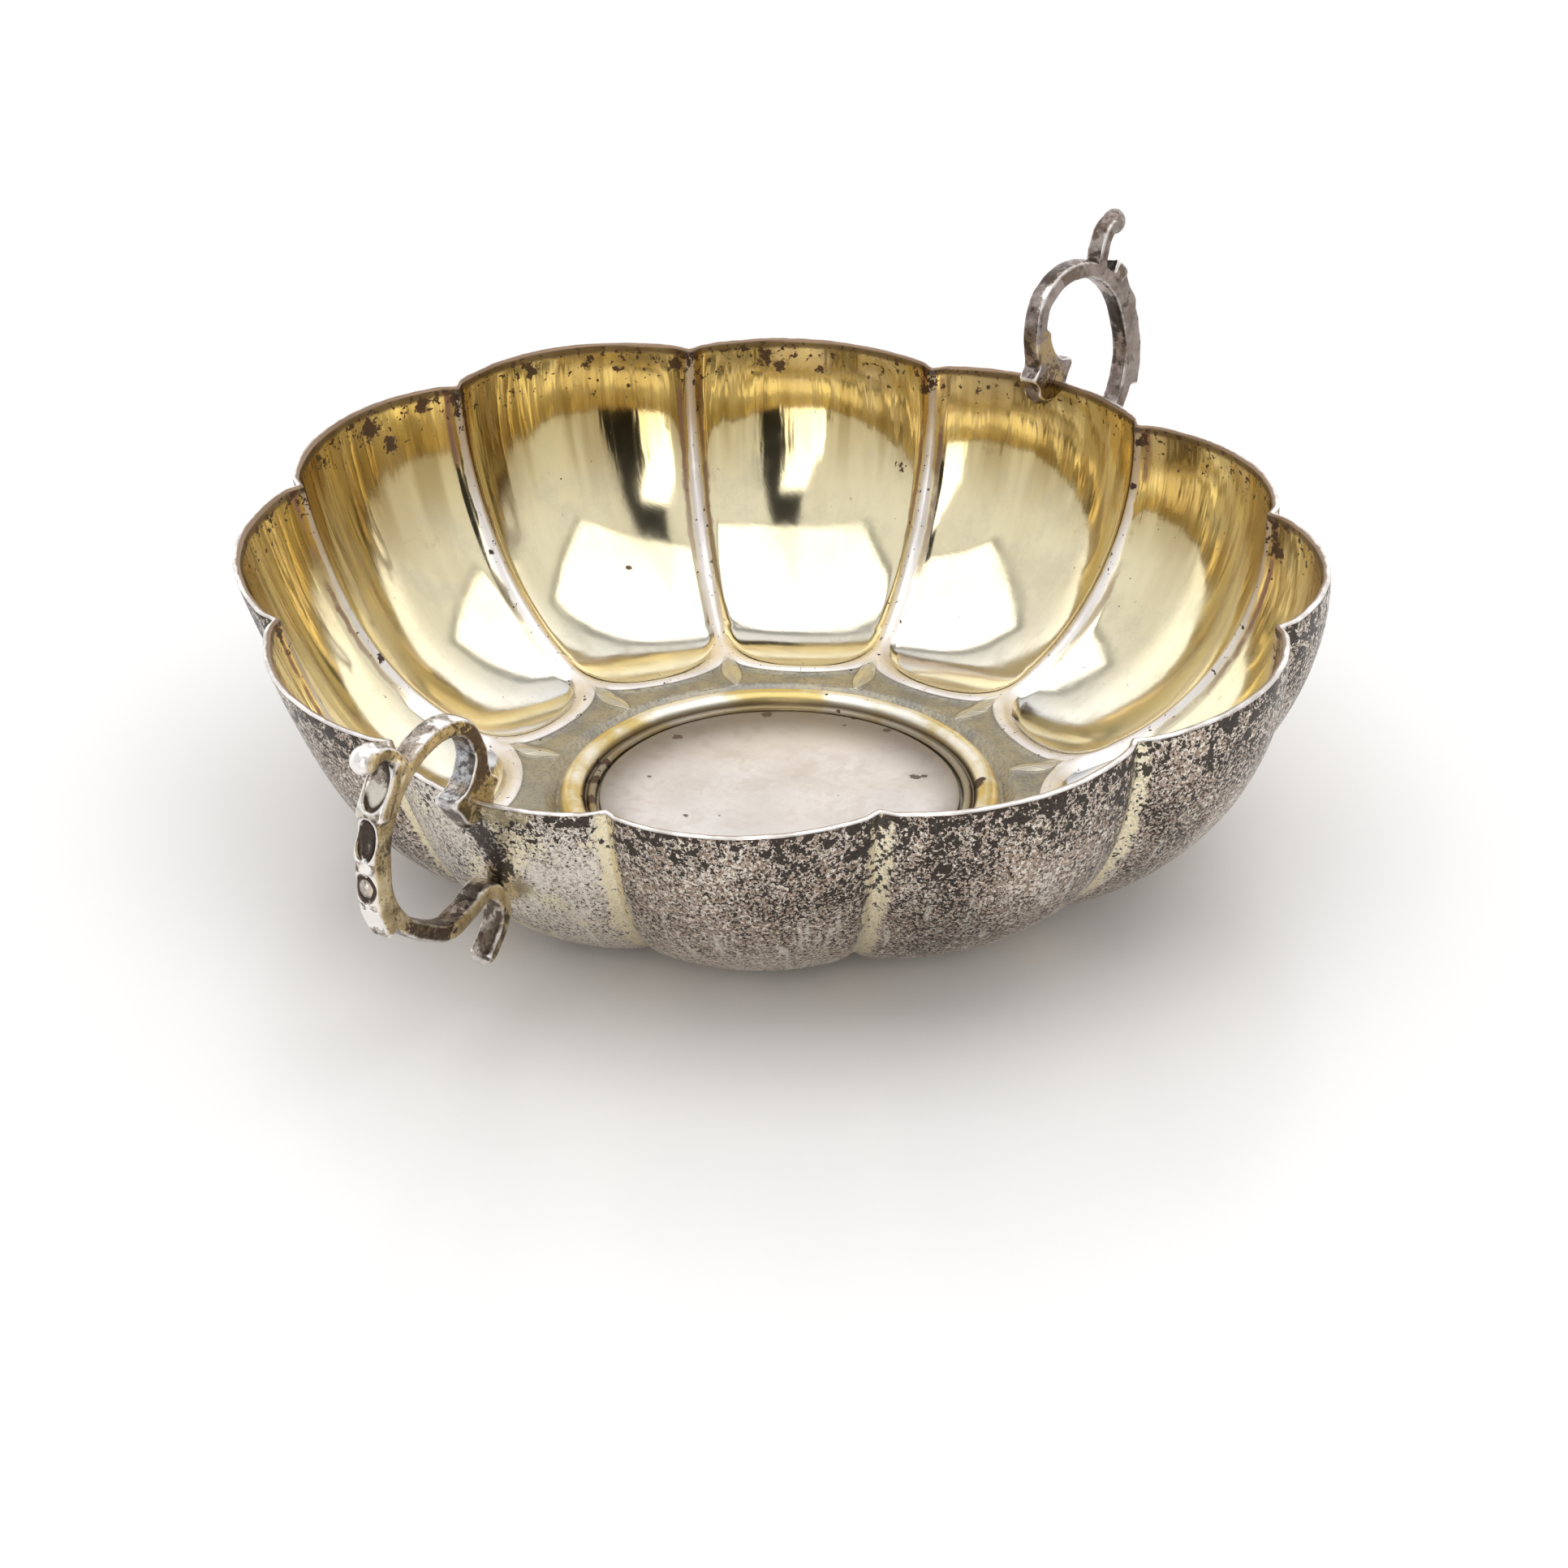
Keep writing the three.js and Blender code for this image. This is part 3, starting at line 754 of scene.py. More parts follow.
def smooth_path(points, steps, closed=False):
    """Points along the smooth curve through a few given ones."""
    knots = [Vector((out, 0.0, up)) for out, up in points]
    count = len(knots)
    last = count if closed else count - 1
    path = []
    for i in range(last):
        before, start, end, after = (
            knots[k % count] if closed else knots[max(0, min(count - 1, k))] for k in range(i - 1, i + 3)
        )
        leaving = start + (end - before) / 6
        arriving = end - (after - start) / 6
        path += interpolate_bezier(start, leaving, arriving, end, steps + 1)[:-1]
    return path if closed else path + [knots[-1]]


def squared(value):
    """Turns a circle's coordinate into that of a bar's section with rounded edges."""
    return math.copysign(abs(value) ** SECTION_ROUNDNESS, value)


def edges_within(ring):
    """The edges that run between the given points."""
    edges = set(e for v in ring for e in v.link_edges)
    return [e for e in edges if all(v in ring for v in e.verts)]


def bar(shape, points, thickness, width=BAND_WIDTH, thinning=0.0):
    """A bar with rounded edges, drawn along a path in the handle's middle plane."""
    path = smooth_path(points, BAR_STEPS)
    ring = bmesh.ops.create_circle(shape, cap_ends=True, radius=1.0, segments=BAR_SEGMENTS)["verts"]
    for vert in ring:
        vert.co = Vector((squared(vert.co.x), squared(vert.co.y), 0.0))
    stations = []
    for i, middle in enumerate(path):
        along = (path[min(i + 1, len(path) - 1)] - path[max(i - 1, 0)]).normalized()
        half = thickness / 2 * (1 - thinning * smooth_step(i / (len(path) - 1), TAIL_START, 1.0))
        across = Vector((0.0, 1.0, 0.0)).cross(along)
        columns = (across * half, Vector((0.0, width / 2, 0.0)), along)
        stations.append(Matrix.Translation(middle) @ Matrix(columns).transposed().to_4x4())
    bmesh.ops.transform(shape, matrix=stations[0], verts=ring)
    for before, here in zip(stations, stations[1:]):
        drawn = bmesh.ops.extrude_edge_only(shape, edges=edges_within(ring))["geom"]
        ring = [g for g in drawn if isinstance(g, bmesh.types.BMVert)]
        bmesh.ops.transform(shape, matrix=here @ before.inverted(), verts=ring)
    bmesh.ops.contextual_create(shape, geom=edges_within(ring))


def clasp(shape):
    """The calyx that grips the rim."""
    half = Vector((0.0, BAND_WIDTH / 2, 0.0))
    outline = [shape.verts.new(p - half) for p in smooth_path(CLASP, CLASP_STEPS, closed=True)]
    face = shape.faces.new(outline)
    drawn = bmesh.ops.extrude_face_region(shape, geom=[face])["geom"]
    moved = [g for g in drawn if isinstance(g, bmesh.types.BMVert)]
    bmesh.ops.translate(shape, verts=moved, vec=(0.0, BAND_WIDTH, 0.0))


def ball(shape, out, up, radius, half_width, fineness=3):
    """A ball in the handle's middle plane, with a width of its own."""
    place = Matrix.Translation((out, 0.0, up)) @ Matrix.Diagonal((radius, half_width, radius, 1.0))
    bmesh.ops.create_icosphere(shape, subdivisions=fineness, radius=1.0, matrix=place)


def solder(shape):
    """Solder run in round the rim, on both faces of the sheet."""
    for out, up, radius in SOLDER:
        ball(shape, out, up, radius, SOLDER_HALF_WIDTH)


def carve_scoop(shape, ends, depth, half_width):
    """Sinks a squashed ball into the back between two places on its middle line."""
    start, end = (Vector((out, 0.0, up)) for out, up in ends)
    along = (end - start).normalized()
    outward = Vector((-along.z, 0.0, along.x))
    length = (end - start).length / 2
    middle = (start + end) / 2 + outward * (BACK_THICKNESS / 2 + SCOOP_LIFT)
    for vert in shape.verts:
        away = vert.co - middle
        inside = 1 - (away.dot(along) / length) ** 2 - (away.y / half_width) ** 2
        if inside > 0 and abs(away.dot(outward)) < CARVING_REACH:
            sunk = away.dot(outward) + depth * inside ** SCOOP_FULLNESS
            vert.co -= outward * max(0.0, sunk)


def soften(shape, rounds):
    for _ in range(rounds):
        bmesh.ops.smooth_vert(
            shape, verts=shape.verts, factor=0.5, use_axis_x=True, use_axis_y=True, use_axis_z=True
        )


def remeshed(shape, name):
    """Melts the closed shapes of a bmesh into one, with an even fine mesh."""
    rough = linked(name, shape, [])
    remesh = rough.modifiers.new("fine", "REMESH")
    remesh.mode = "VOXEL"
    remesh.voxel_size = HANDLE_VOXEL
    depsgraph = bpy.context.evaluated_depsgraph_get()
    fine = bpy.data.meshes.new_from_object(rough.evaluated_get(depsgraph))
    bpy.data.objects.remove(rough)
    melted = bmesh.new()
    melted.from_mesh(fine)
    return melted


def rim_edge(side):
    return out_of_true(Vector((side * (RIM_RADIUS + LOBE_DEPTH_RIM), 0.0, RIM_HEIGHT)))


def wall_out(side, height):
    """Distance out of the sheet's outer face at a height, up the middle of the lobe at one of the handles."""
    low, high = 0.0, math.pi / 2
    while high - low > 1e-4:
        middle = (low + high) / 2
        r, z, normal = wall_point(middle)
        out = push(r, 0.0) + SHEET
        point = out_of_true(Vector((side * (r + normal.x * out), 0.0, z + normal.y * out)))
        if point.z < height:
            low = middle
        else:
            high = middle
    return abs(point.x)


def scroll_casting(side, lean, thumb_lean, thumb_shift, back_leaf):
    """One scroll with the rim's edge at the origin and its back towards +X. The loop may lean in over the
    bowl, and the thumb-piece further than the loop."""
    seat = rim_edge(side)
    turn = Matrix.Rotation(lean, 2)

    def leaned(points):
        return [tuple(turn @ Vector(p)) for p in points]

    foot = Vector(THUMB_PIECE[0])
    thumb_turn = Matrix.Rotation(thumb_lean, 2)
    bent = [foot + thumb_shift + thumb_turn @ (Vector(p) - foot) for p in THUMB_PIECE + [THUMB_BALL]]
    *thumb, thumb_end = leaned(bent)
    tail = [(wall_out(side, seat.z + up) - abs(seat.x) + off, up) for off, up in TAIL]
    shape = bmesh.new()
    bar(shape, leaned(SCROLL) + tail, BAND_THICKNESS, thinning=TAIL_THINNING)
    bar(shape, thumb, THUMB_THICKNESS)
    bar(shape, leaned(back_leaf), BACK_THICKNESS, width=BACK_LEAF_WIDTH)
    bar(shape, leaned(BACK), BACK_THICKNESS)
    ball(shape, *tail[-1], BAND_THICKNESS / 2 * (1 - TAIL_THINNING), TAIL_END_HALF_WIDTH)
    ball(shape, *thumb_end, THUMB_BALL_RADIUS, THUMB_BALL_RADIUS, fineness=4)
    clasp(shape)
    solder(shape)
    bmesh.ops.recalc_face_normals(shape, faces=shape.faces)
    shape = remeshed(shape, "casting")
    soften(shape, MELTED_ROUNDS)
    for start, end, depth, half_width in SCOOPS:
        carve_scoop(shape, leaned([start, end]), depth, half_width)
    soften(shape, SCOOPED_ROUNDS)
    carve_eye(shape, *leaned([BEAD_EYE]))
    soften(shape, BEAD_ROUNDS)
    return shape, seat


def carve_eye(shape, eye):
    """The bead on the back: a small boss in a sunk ring."""
    middle = Vector((eye[0], 0.0, eye[1]))
    for vert in shape.verts:
        away = vert.co - middle
        across = math.hypot(away.y, BEAD_EYE_ROUNDNESS * away.z) / BEAD_EYE_RADIUS
        if across < 1.9 and abs(away.x) < BEAD_CARVING_REACH:
            boss = smooth_step(across, 0.95, 0.2)
            ring = smooth_step(abs(across - 1.3), 0.55, 0.05)
            vert.co.x += BEAD_EYE_HEIGHT * (boss - ring)


def lower_handle(material):
    shape, seat = scroll_casting(-1, 0.0, 0.0, Vector((0.0, 0.0)), BACK_LEAF)
    place = Matrix.Rotation(math.pi, 4, "Z") @ Matrix.Translation((abs(seat.x), 0.0, seat.z))
    finish_handle(shape, place, "near_scroll", "handle_left", material)


def upper_handle(material):
    shape, seat = scroll_casting(1, UPPER_HANDLE_LEAN, UPPER_THUMB_LEAN, UPPER_THUMB_SHIFT, UPPER_BACK_LEAF)
    bent = Matrix.Rotation(UPPER_HANDLE_TWIST, 4, "Z") @ Matrix.Rotation(UPPER_HANDLE_ROLL, 4, "X")
    seated = Matrix.Translation((abs(seat.x), 0.0, seat.z + UPPER_HANDLE_RISE))
    narrow = Matrix.Diagonal((1.0, UPPER_HANDLE_WIDTH, 1.0, 1.0))
    place = Matrix.Rotation(UPPER_HANDLE_TURN, 4, "Z") @ seated @ bent @ narrow
    finish_handle(shape, place, "far_scroll", "handle_right", material)


def finish_handle(shape, place, name, node, material):
    """Puts a casting in its place, with its faces a little uneven and its wear marked."""
    bmesh.ops.transform(shape, matrix=place, verts=shape.verts)
    mark_relief(shape)
    shape.normal_update()
    for vert in shape.verts:
        uneven = CAST_WAVE * noise.noise(vert.co * 0.7) + CAST_GRAIN * noise.noise(vert.co * 2.2)
        vert.co += vert.normal * (uneven - CAST_SHRINK)
    link_piece(shape, name, node, [material])


def mark_relief(shape):
    """Marks edges, above 0.5, and hollows, below 0.5, by how far smoothing would move each point, and the
    flat sides of the band."""
    layer = shape.verts.layers.float.new("relief")
    side = shape.verts.layers.float.new("side")
    smoothed = shape.copy()
    soften(smoothed, RELIEF_ROUNDS)
    shape.normal_update()
    for vert, moved in zip(shape.verts, smoothed.verts):
        vert[layer] = clamp(0.5 + RELIEF_GAIN * (vert.co - moved.co).dot(vert.normal))
        vert[side] = smooth_step(abs(vert.normal.y), 0.6, 0.85)
    smoothed.free()


# Finishes

GOLD = (0.66, 0.51, 0.205, 1.0)
PALE_GOLD = (0.96, 0.86, 0.58, 1.0)
WASHED_GOLD = (0.89, 0.85, 0.75, 1.0)
DULL_GOLD = (0.56, 0.43, 0.24, 1.0)
SMUDGED_GOLD = (0.60, 0.57, 0.44, 1.0)
BROWN_GOLD = (0.40, 0.285, 0.11, 1.0)
OLD_GILT = (0.36, 0.25, 0.11, 1.0)
GROOVE_GILT = (0.96, 0.86, 0.60, 1.0)
SILVER = (0.91, 0.87, 0.84, 1.0)
WORN_SILVER = (0.78, 0.73, 0.70, 1.0)
GREY_SILVER = (0.60, 0.56, 0.52, 1.0)
COOL_SILVER = (0.56, 0.57, 0.59, 1.0)
TAN_SILVER = (0.50, 0.38, 0.26, 1.0)
LEAF_SILVER = (0.80, 0.75, 0.62, 1.0)
HANDLED_SILVER = (0.80, 0.755, 0.69, 1.0)
SCRUBBED_SILVER = (0.92, 0.87, 0.79, 1.0)
PALE_HOLLOW = (0.82, 0.77, 0.67, 1.0)
CREAM = (0.93, 0.87, 0.77, 1.0)
HALO_CREAM = (0.90, 0.84, 0.75, 1.0)
SOLDER_GREY = (0.52, 0.45, 0.28, 1.0)
WARM_GREY = (0.46, 0.36, 0.29, 1.0)
BRONZE = (0.30, 0.215, 0.16, 1.0)
RED_BROWN = (0.27, 0.15, 0.12, 1.0)
POLISH_BROWN = (0.26, 0.18, 0.12, 1.0)
BLOOM_BROWN = (0.46, 0.38, 0.34, 1.0)
DIRT = (0.24, 0.19, 0.14, 1.0)
PUNCHED = (0.17, 0.15, 0.12, 1.0)
RING_SHADE_BROWN = (0.16, 0.12, 0.08, 1.0)
DISC_SHADE_BROWN = (0.14, 0.105, 0.08, 1.0)
UMBER = (0.12, 0.08, 0.052, 1.0)
SEAM_DIRT = (0.11, 0.08, 0.05, 1.0)
BROWN = (0.085, 0.050, 0.036, 1.0)
HOLLOW_DIRT = (0.07, 0.052, 0.04, 1.0)
PIT_BROWN = (0.066, 0.048, 0.038, 1.0)
# near black: real stains outside, and painted shade on the handles
SOOT_AND_SHADE = (0.052, 0.043, 0.038, 1.0)
SPOT_BROWN = (0.048, 0.036, 0.030, 1.0)

# tones that a finish wanders between
MATTED_GROUND = ((0.31, 0.295, 0.26, 1.0), (0.43, 0.385, 0.29, 1.0))
OUTSIDE_SKIN = ((0.57, 0.46, 0.375, 1.0), (0.78, 0.69, 0.60, 1.0))
DISC_TONES = ((0.68, 0.64, 0.64, 1.0), (0.84, 0.81, 0.82, 1.0))
SLATE_TONES = ((0.34, 0.36, 0.38, 1.0), (0.66, 0.67, 0.68, 1.0))
NEAR_SIDES = ((0.44, 0.33, 0.17, 1.0), (0.82, 0.68, 0.43, 1.0))
NEAR_FACES = ((0.26, 0.21, 0.165, 1.0), (0.60, 0.53, 0.46, 1.0))
FAR_SIDES = ((0.17, 0.135, 0.115, 1.0), (0.31, 0.26, 0.23, 1.0))
FAR_FACES = ((0.20, 0.155, 0.135, 1.0), (0.42, 0.355, 0.33, 1.0))

# how deep the bumps of each finish go, in metres
INSIDE_RELIEF = 0.00010
RING_RELIEF = 0.00008
RIM_RELIEF = 0.00006
FINE_RELIEF = 0.00003

# single stains that the eye finds at once: where they are and how large, in millimetres
STAINS_INSIDE = [
    ((47.2, 34.0, 28.7), 1.1), ((48.3, 32.6, 27.9), 0.9), ((50.7, 28.7, 27.4), 0.7),
    ((27.0, 53.4, 30.1), 1.1), ((4.2, 59.9, 29.5), 1.6), ((6.5, 58.8, 27.0), 1.2),
    ((11.2, 57.6, 30.4), 1.1), ((14.3, 55.2, 30.9), 1.1), ((38.9, 41.2, 29.2), 1.2),
    ((52.9, 15.2, 27.4), 0.9), ((51.1, 17.4, 17.5), 0.7), ((51.9, -14.0, 22.9), 0.6),
    ((27.1, 39.9, 7.8), 0.35), ((12.5, 49.1, 13.4), 0.5), ((-12.6, 46.2, 11.0), 0.6),
    ((38.8, -41.1, 27.3), 1.3),
]
STAINS_OUTSIDE = [
    ((-58.3, -0.6, 24.6), 2.4), ((-57.4, -0.9, 22.4), 2.6), ((-56.2, -1.4, 20.2), 2.4),
    ((-55.2, -2.2, 18.2), 2.0), ((-54.5, -1.4, 16.6), 1.6),
    ((-40.0, -39.8, 28.0), 1.3), ((-39.7, -41.3, 28.5), 0.9),
]
SOLDER_OUTSIDE = [((-57.9, -3.6, 25.8), 2.2), ((-57.3, -6.3, 26.2), 1.6), ((-53.7, -3.8, 15.4), 1.6)]
STAINS_DISC = [
    ((11.9, -10.4, 1.7), 0.8), ((12.6, -11.2, 1.7), 0.5), ((4.8, 17.4, 1.7), 0.7), ((20.0, 3.3, 1.7), 0.6),
    ((15.2, 12.1, 1.7), 0.8), ((17.4, 11.1, 1.7), 0.5), ((19.5, -1.5, 1.7), 0.6), ((-10.1, 5.8, 1.7), 0.5),
]
PITS_RING = [
    ((-9.0, 18.9, 1.9), 1.2), ((-13.3, 16.6, 1.9), 1.3), ((-5.0, 20.6, 1.9), 1.0), ((13.5, -17.8, 2.3), 1.2),
]

# single places on the near handle: painted highlights, white as rubbed silver, on the ball, the lips and the
# top of the arch, the pale hollow, painted shade in the black hollow, at the top of the pale one under the
# curl and low on the tail by the wall, the blue leaf, brown old polish, and the bead that stays dull
NEAR_PLACES = {
    "painted_highlight": [
        ((-75.2, 0.0, 38.9), 2.7), ((-74.8, 0.0, 20.0), 2.6), ((-75.2, 0.0, 26.4), 1.2),
        ((-60.2, -1.0, 37.6), 1.5), ((-63.0, -1.0, 38.3), 1.5), ((-65.8, -1.2, 37.8), 1.2),
    ],
    "pale": [((-73.6, 0.3, 33.6), 2.6)],
    "painted_shade": [((-75.4, 0.0, 29.8), 2.3), ((-58.0, 0.0, 14.0), 2.6), ((-72.4, -1.0, 36.8), 1.3)],
    "blue": [((-59.5, 0.0, 31.5), 3.2), ((-61.8, 0.0, 28.5), 2.4)],
    "brown": [
        ((-58.4, -1.4, 34.8), 4.0), ((-57.2, -1.4, 30.8), 2.6), ((-69.0, -1.4, 15.4), 3.0),
        ((-64.5, -1.4, 13.8), 2.2), ((-66.8, -1.4, 14.2), 1.8),
    ],
    "dull": [((-76.0, 0.0, 24.2), 1.3)],
    "gilt": [((-61.2, -0.6, 27.8), 2.0), ((-57.0, -1.4, 27.5), 2.2)],
}
# and on the far one: painted highlights on the loop and the thumb-piece, gilding at its foot, and painted
# shade on a dark inner face
FAR_PLACES = {
    "painted_highlight": [((58.5, 0.0, 40.0), 3.0), ((70.3, 0.0, 45.0), 1.6)],
    "painted_shade": [((73.0, 0.0, 34.0), 4.5), ((72.0, 0.0, 39.0), 3.2), ((68.0, 0.0, 41.5), 1.6)],
    "brown": [((57.0, -1.0, 32.0), 2.2)],
    "gilt": [((57.0, 0.0, 34.5), 2.6), ((57.5, 0.0, 31.0), 2.6)],
}


def gilt_inside():
    """Polished gilding in the lobes, worn to silver on the borders, and a matted floor between them."""
    metal, tree, place = new_metal("gilt_inside")
    climb = attribute(tree, "climb")
    border = attribute(tree, "border")
    rolled = attribute(tree, "rolled", "Vector")
    wear = grain(place, 110.0, detail=4.0, roughness=0.6)
    film = grain(stretched(rolled, (1.0, 1.0, 0.3)), 0.16, detail=4.0, roughness=0.62)
    smudge = blur_step(grain(place, 170.0, detail=5.0, roughness=0.66), 0.46, 0.66)
    smudge = smudge * blur_step(climb, 0.7, 0.9, 1.0, 0.3)
    ragged = (grain(place, 420.0) - 0.5) * 0.45
    bare, fringe = worn_borders(climb, border, ragged, wear)

    # stains under the rim, a few single ones, and a brown line along the edge
    cover = blur_step(climb, 0.84, 1.0, 0.0, 0.36) + blur_step(border, 0.0, 0.3) * 0.14
    dark = larger(
        tarnish(place, 1100.0, cover),
        specks(place, 460.0, 0.05, 0.16),
        marks(place, STAINS_INSIDE, 3.0),
        blur_step(climb + ragged * 0.02, 0.976, 0.986) * 0.8,
    )

    floor = blur_step(attribute(tree, "reach"), 1.08, 1.105)
    stipple = cells(place, 1900.0)
    leaf_share, leaf_relief = chased_leaf(tree)
    colour = layered(
        lobe_gilding(climb, rolled, film, smudge),
        (bare, bare_silver(climb, ragged, wear)),
        (fringe, RED_BROWN),
        (floor, matted_ground(place, stipple)),
        (leaf_share * 0.45, LEAF_SILVER),
        (floor * blur_step(leaf_relief, -0.35, -0.95) * 0.4, DIRT),
        (dark * 0.95, BROWN),
    )

    matted = floor * (1.0 - leaf_share)
    flutes = grain(stretched(rolled, (0.32, 0.32, 0.045)), 1.0, roughness=0.5)
    flutes = flutes * blur_step(climb, 0.6, 0.85, 0.015, 1.5)
    relief = matted * stipple * 0.6 + leaf_relief * 0.35 + flutes
    relief = relief + grain(place, 300.0, detail=2.0) * 0.11 + scratches(place, 500.0, 0.3) * 0.02
    rough = 0.05 + film * 0.10 + smudge * 0.05 + bare * 0.34 + matted * 0.34 + leaf_share * 0.22
    rough = rough + larger(dark, fringe) * 0.3
    return finished_metal(metal, colour, rough, relief, INSIDE_RELIEF)


def lobe_gilding(climb, rolled, film, smudge):
    """Gilding, thin below and full towards the rim, with dull film, smudges and brown stripes."""
    stripes = grain(stretched(rolled, (0.30, 0.30, 0.03)), 1.0, detail=2.0, roughness=0.5)
    return layered(
        WASHED_GOLD,
        (blur_step(climb, 0.1, 0.55), PALE_GOLD),
        (blur_step(climb, 0.55, 0.92), GOLD),
        (blur_step(film, 0.40, 0.66) * blur_step(climb, 0.4, 0.95, 0.12, 0.6), DULL_GOLD),
        (smudge * 0.3, SMUDGED_GOLD),
        (blur_step(stripes, 0.44, 0.60) * blur_step(climb, 0.62, 0.86, 0.0, 0.75), BROWN_GOLD),
        (blur_step(climb, 0.20, 0.08, 0.0, 0.85), COOL_SILVER),
    )


def worn_borders(climb, border, ragged, wear):
    """Where the gilding is rubbed off, broad round the lobes' ends and narrow near the rim, and the dirty
    fringe beside it."""
    broader = blur_step(climb, 0.22, 0.08, 0.0, 0.18) + blur_step(climb, 0.5, 0.95, 0.0, -0.2)
    bare = blur_step(border + ragged + broader, 0.48, 0.64)
    beside = border + ragged * 0.6
    fringe = blur_step(beside, 0.03, 0.16) * blur_step(beside, 0.56, 0.36)
    return bare, fringe * blur_step(climb, 0.15, 0.8, 0.12, 0.9) * blur_step(wear, 0.36, 0.52)


def bare_silver(climb, ragged, wear):
    """The silver of the borders, tan near the rim."""
    return layered(
        SILVER,
        (blur_step(wear, 0.4, 0.62), WORN_SILVER),
        (blur_step(climb + ragged * 0.3, 0.62, 0.9, 0.0, 0.85), TAN_SILVER),
    )


def matted_ground(place, stipple):
    """The floor, matted with a small punch."""
    tone = grain(place, 260.0, detail=4.0, roughness=0.65)
    ground = colour_mix(blur_step(tone, 0.35, 0.65), *MATTED_GROUND)
    return colour_mix(blur_step(stipple, 0.45, 0.15) * 0.35, ground, PUNCHED)


def chased_leaf(tree):
    """The leaves of the floor: where they are, and the lines cut in them."""
    leaf_place = attribute(tree, "leaf", "Vector")
    along = coordinate(leaf_place, 0)
    across = abs(coordinate(leaf_place, 1))
    edge = 1.0 - along * along - across
    share = blur_step(edge, 0.05, 0.2)
    outline = blur_step(abs(edge - 0.06), 0.02, 0.12, 1.0, 0.0)
    midrib = blur_step(across, 0.03, 0.14, 1.0, 0.0)
    veins = blur_step(maths("SINE", along * 14.0 - across * 9.0), 0.4, 1.0) * 0.5
    return share, share - larger(midrib, veins) * share - outline


def tarnished_outside():
    """Hand-worn silver: dark blots under the rim, fine spots below them, and old gilding in the grooves."""
    metal, tree, place = new_metal("tarnished_outside")
    climb = attribute(tree, "climb")
    rolled = attribute(tree, "rolled", "Vector")
    clouds = grain(place, 75.0, roughness=0.6)
    ragged = grain(place, 420.0, detail=4.0) - 0.5
    out_along = coordinate(place, 0)
    by_handle = blur_step(abs(coordinate(place, 1)), 0.0125, 0.0155, 1.0, 0.0)
    clean = by_handle * blur_step(abs(out_along), 0.040, 0.047)
    handled = clean + blur_step(out_along, 0.012, 0.045)

    def spotted(scale, softness, climbs, covers, sway, spared):
        """Spots that cover more between two heights, gather in clouds, and are spared where hands rub."""
        cover = blur_step(climb, *climbs, *covers) + (clouds - 0.5) * sway - handled * spared
        return tarnish(place, scale, cover, softness)

    fine = spotted(2900.0, 0.07, (0.10, 0.60), (0.34, 0.43), 0.6, 0.08)
    middle = spotted(1250.0, 0.03, (0.30, 0.90), (0.15, 0.33), 0.42, 0.08)
    band = spotted(760.0, 0.03, (0.74, 0.985), (0.06, 0.47), 0.6, 0.05)
    bronzed = spotted(1500.0, 0.08, (0.10, 0.80), (0.22, 0.62), 0.5, 0.20)
    flecks = spotted(1900.0, 0.06, (0.10, 0.90), (0.38, 0.37), -0.6, 0.0)

    # old gilding is left in the grooves and by the handle, and the skin is scrubbed in upright streaks
    groove = blur_step(attribute(tree, "reach") + ragged * 0.16, 0.90, 0.94) * blur_step(climb, 0.1, 0.25)
    patch = clean * blur_step(grain(place, 160.0, detail=4.0), 0.5, 0.62)
    scrubbed = grain(stretched(rolled, (0.75, 0.75, 0.13)), 1.0, roughness=0.62)
    scrubbed = blur_step(scrubbed, 0.54, 0.66) * blur_step(climb, 0.9, 0.6)
    spared = blur_step(larger(groove, scrubbed * 0.9), 0.0, 1.0, 1.0, 0.25)
    fine_dark = fine * spared * blur_step(climb, 0.05, 0.5, 0.55, 1.0)
    stains = larger(middle, band, marks(place, STAINS_OUTSIDE, 3.6))
    tone = grain(stretched(rolled, (1.0, 1.0, 0.35)), 0.35, detail=4.0, roughness=0.6)
    colour = layered(
        colour_mix(blur_step(tone, 0.35, 0.65), *OUTSIDE_SKIN),
        (blur_step(climb, 0.3, 0.8) * blur_step(clouds, 0.66, 0.44), WARM_GREY),
        (clean * 0.7, HANDLED_SILVER),
        (bronzed * 0.8, BRONZE),
        (flecks * 0.8, CREAM),
        (scrubbed * 0.7, SCRUBBED_SILVER),
        (larger(groove, patch * 0.7) * 0.9, GROOVE_GILT),
        (larger(middle.beside("Halo"), band.beside("Halo")) * 0.5, HALO_CREAM),
        (fine_dark, SPOT_BROWN),
        (stains * 0.96, SOOT_AND_SHADE),
        (marks(place, SOLDER_OUTSIDE, 2.4) * 0.7, SOLDER_GREY),
        (blur_step(climb, 0.985, 0.998) * 0.6, BROWN),
    )

    hair = grain(stretched(rolled, (2.4, 2.4, 0.12)), 1.0, roughness=0.6)
    rough = 0.22 + hair * 0.12 + larger(stains, fine_dark) * 0.12
    relief = hair * 0.35 - fine_dark * 0.6 + stains * 0.25
    return finished_metal(metal, colour, rough, relief, FINE_RELIEF)


def rim_silver():
    """The rim's edge, rubbed bright outside and brown with old polish where it turns in."""
    metal, tree, place = new_metal("rim_silver")
    fine = grain(place, 700.0, detail=4.0)
    silver = colour_mix(blur_step(grain(place, 300.0, detail=4.0), 0.4, 0.65), SILVER, GREY_SILVER)
    turned_out = blur_step(attribute(tree, "depth") + fine * 0.5, 0.58, 0.88)
    colour = colour_mix(turned_out, POLISH_BROWN, silver)
    return finished_metal(metal, colour, 0.22 + grain(place, 900.0) * 0.2, fine, RIM_RELIEF)


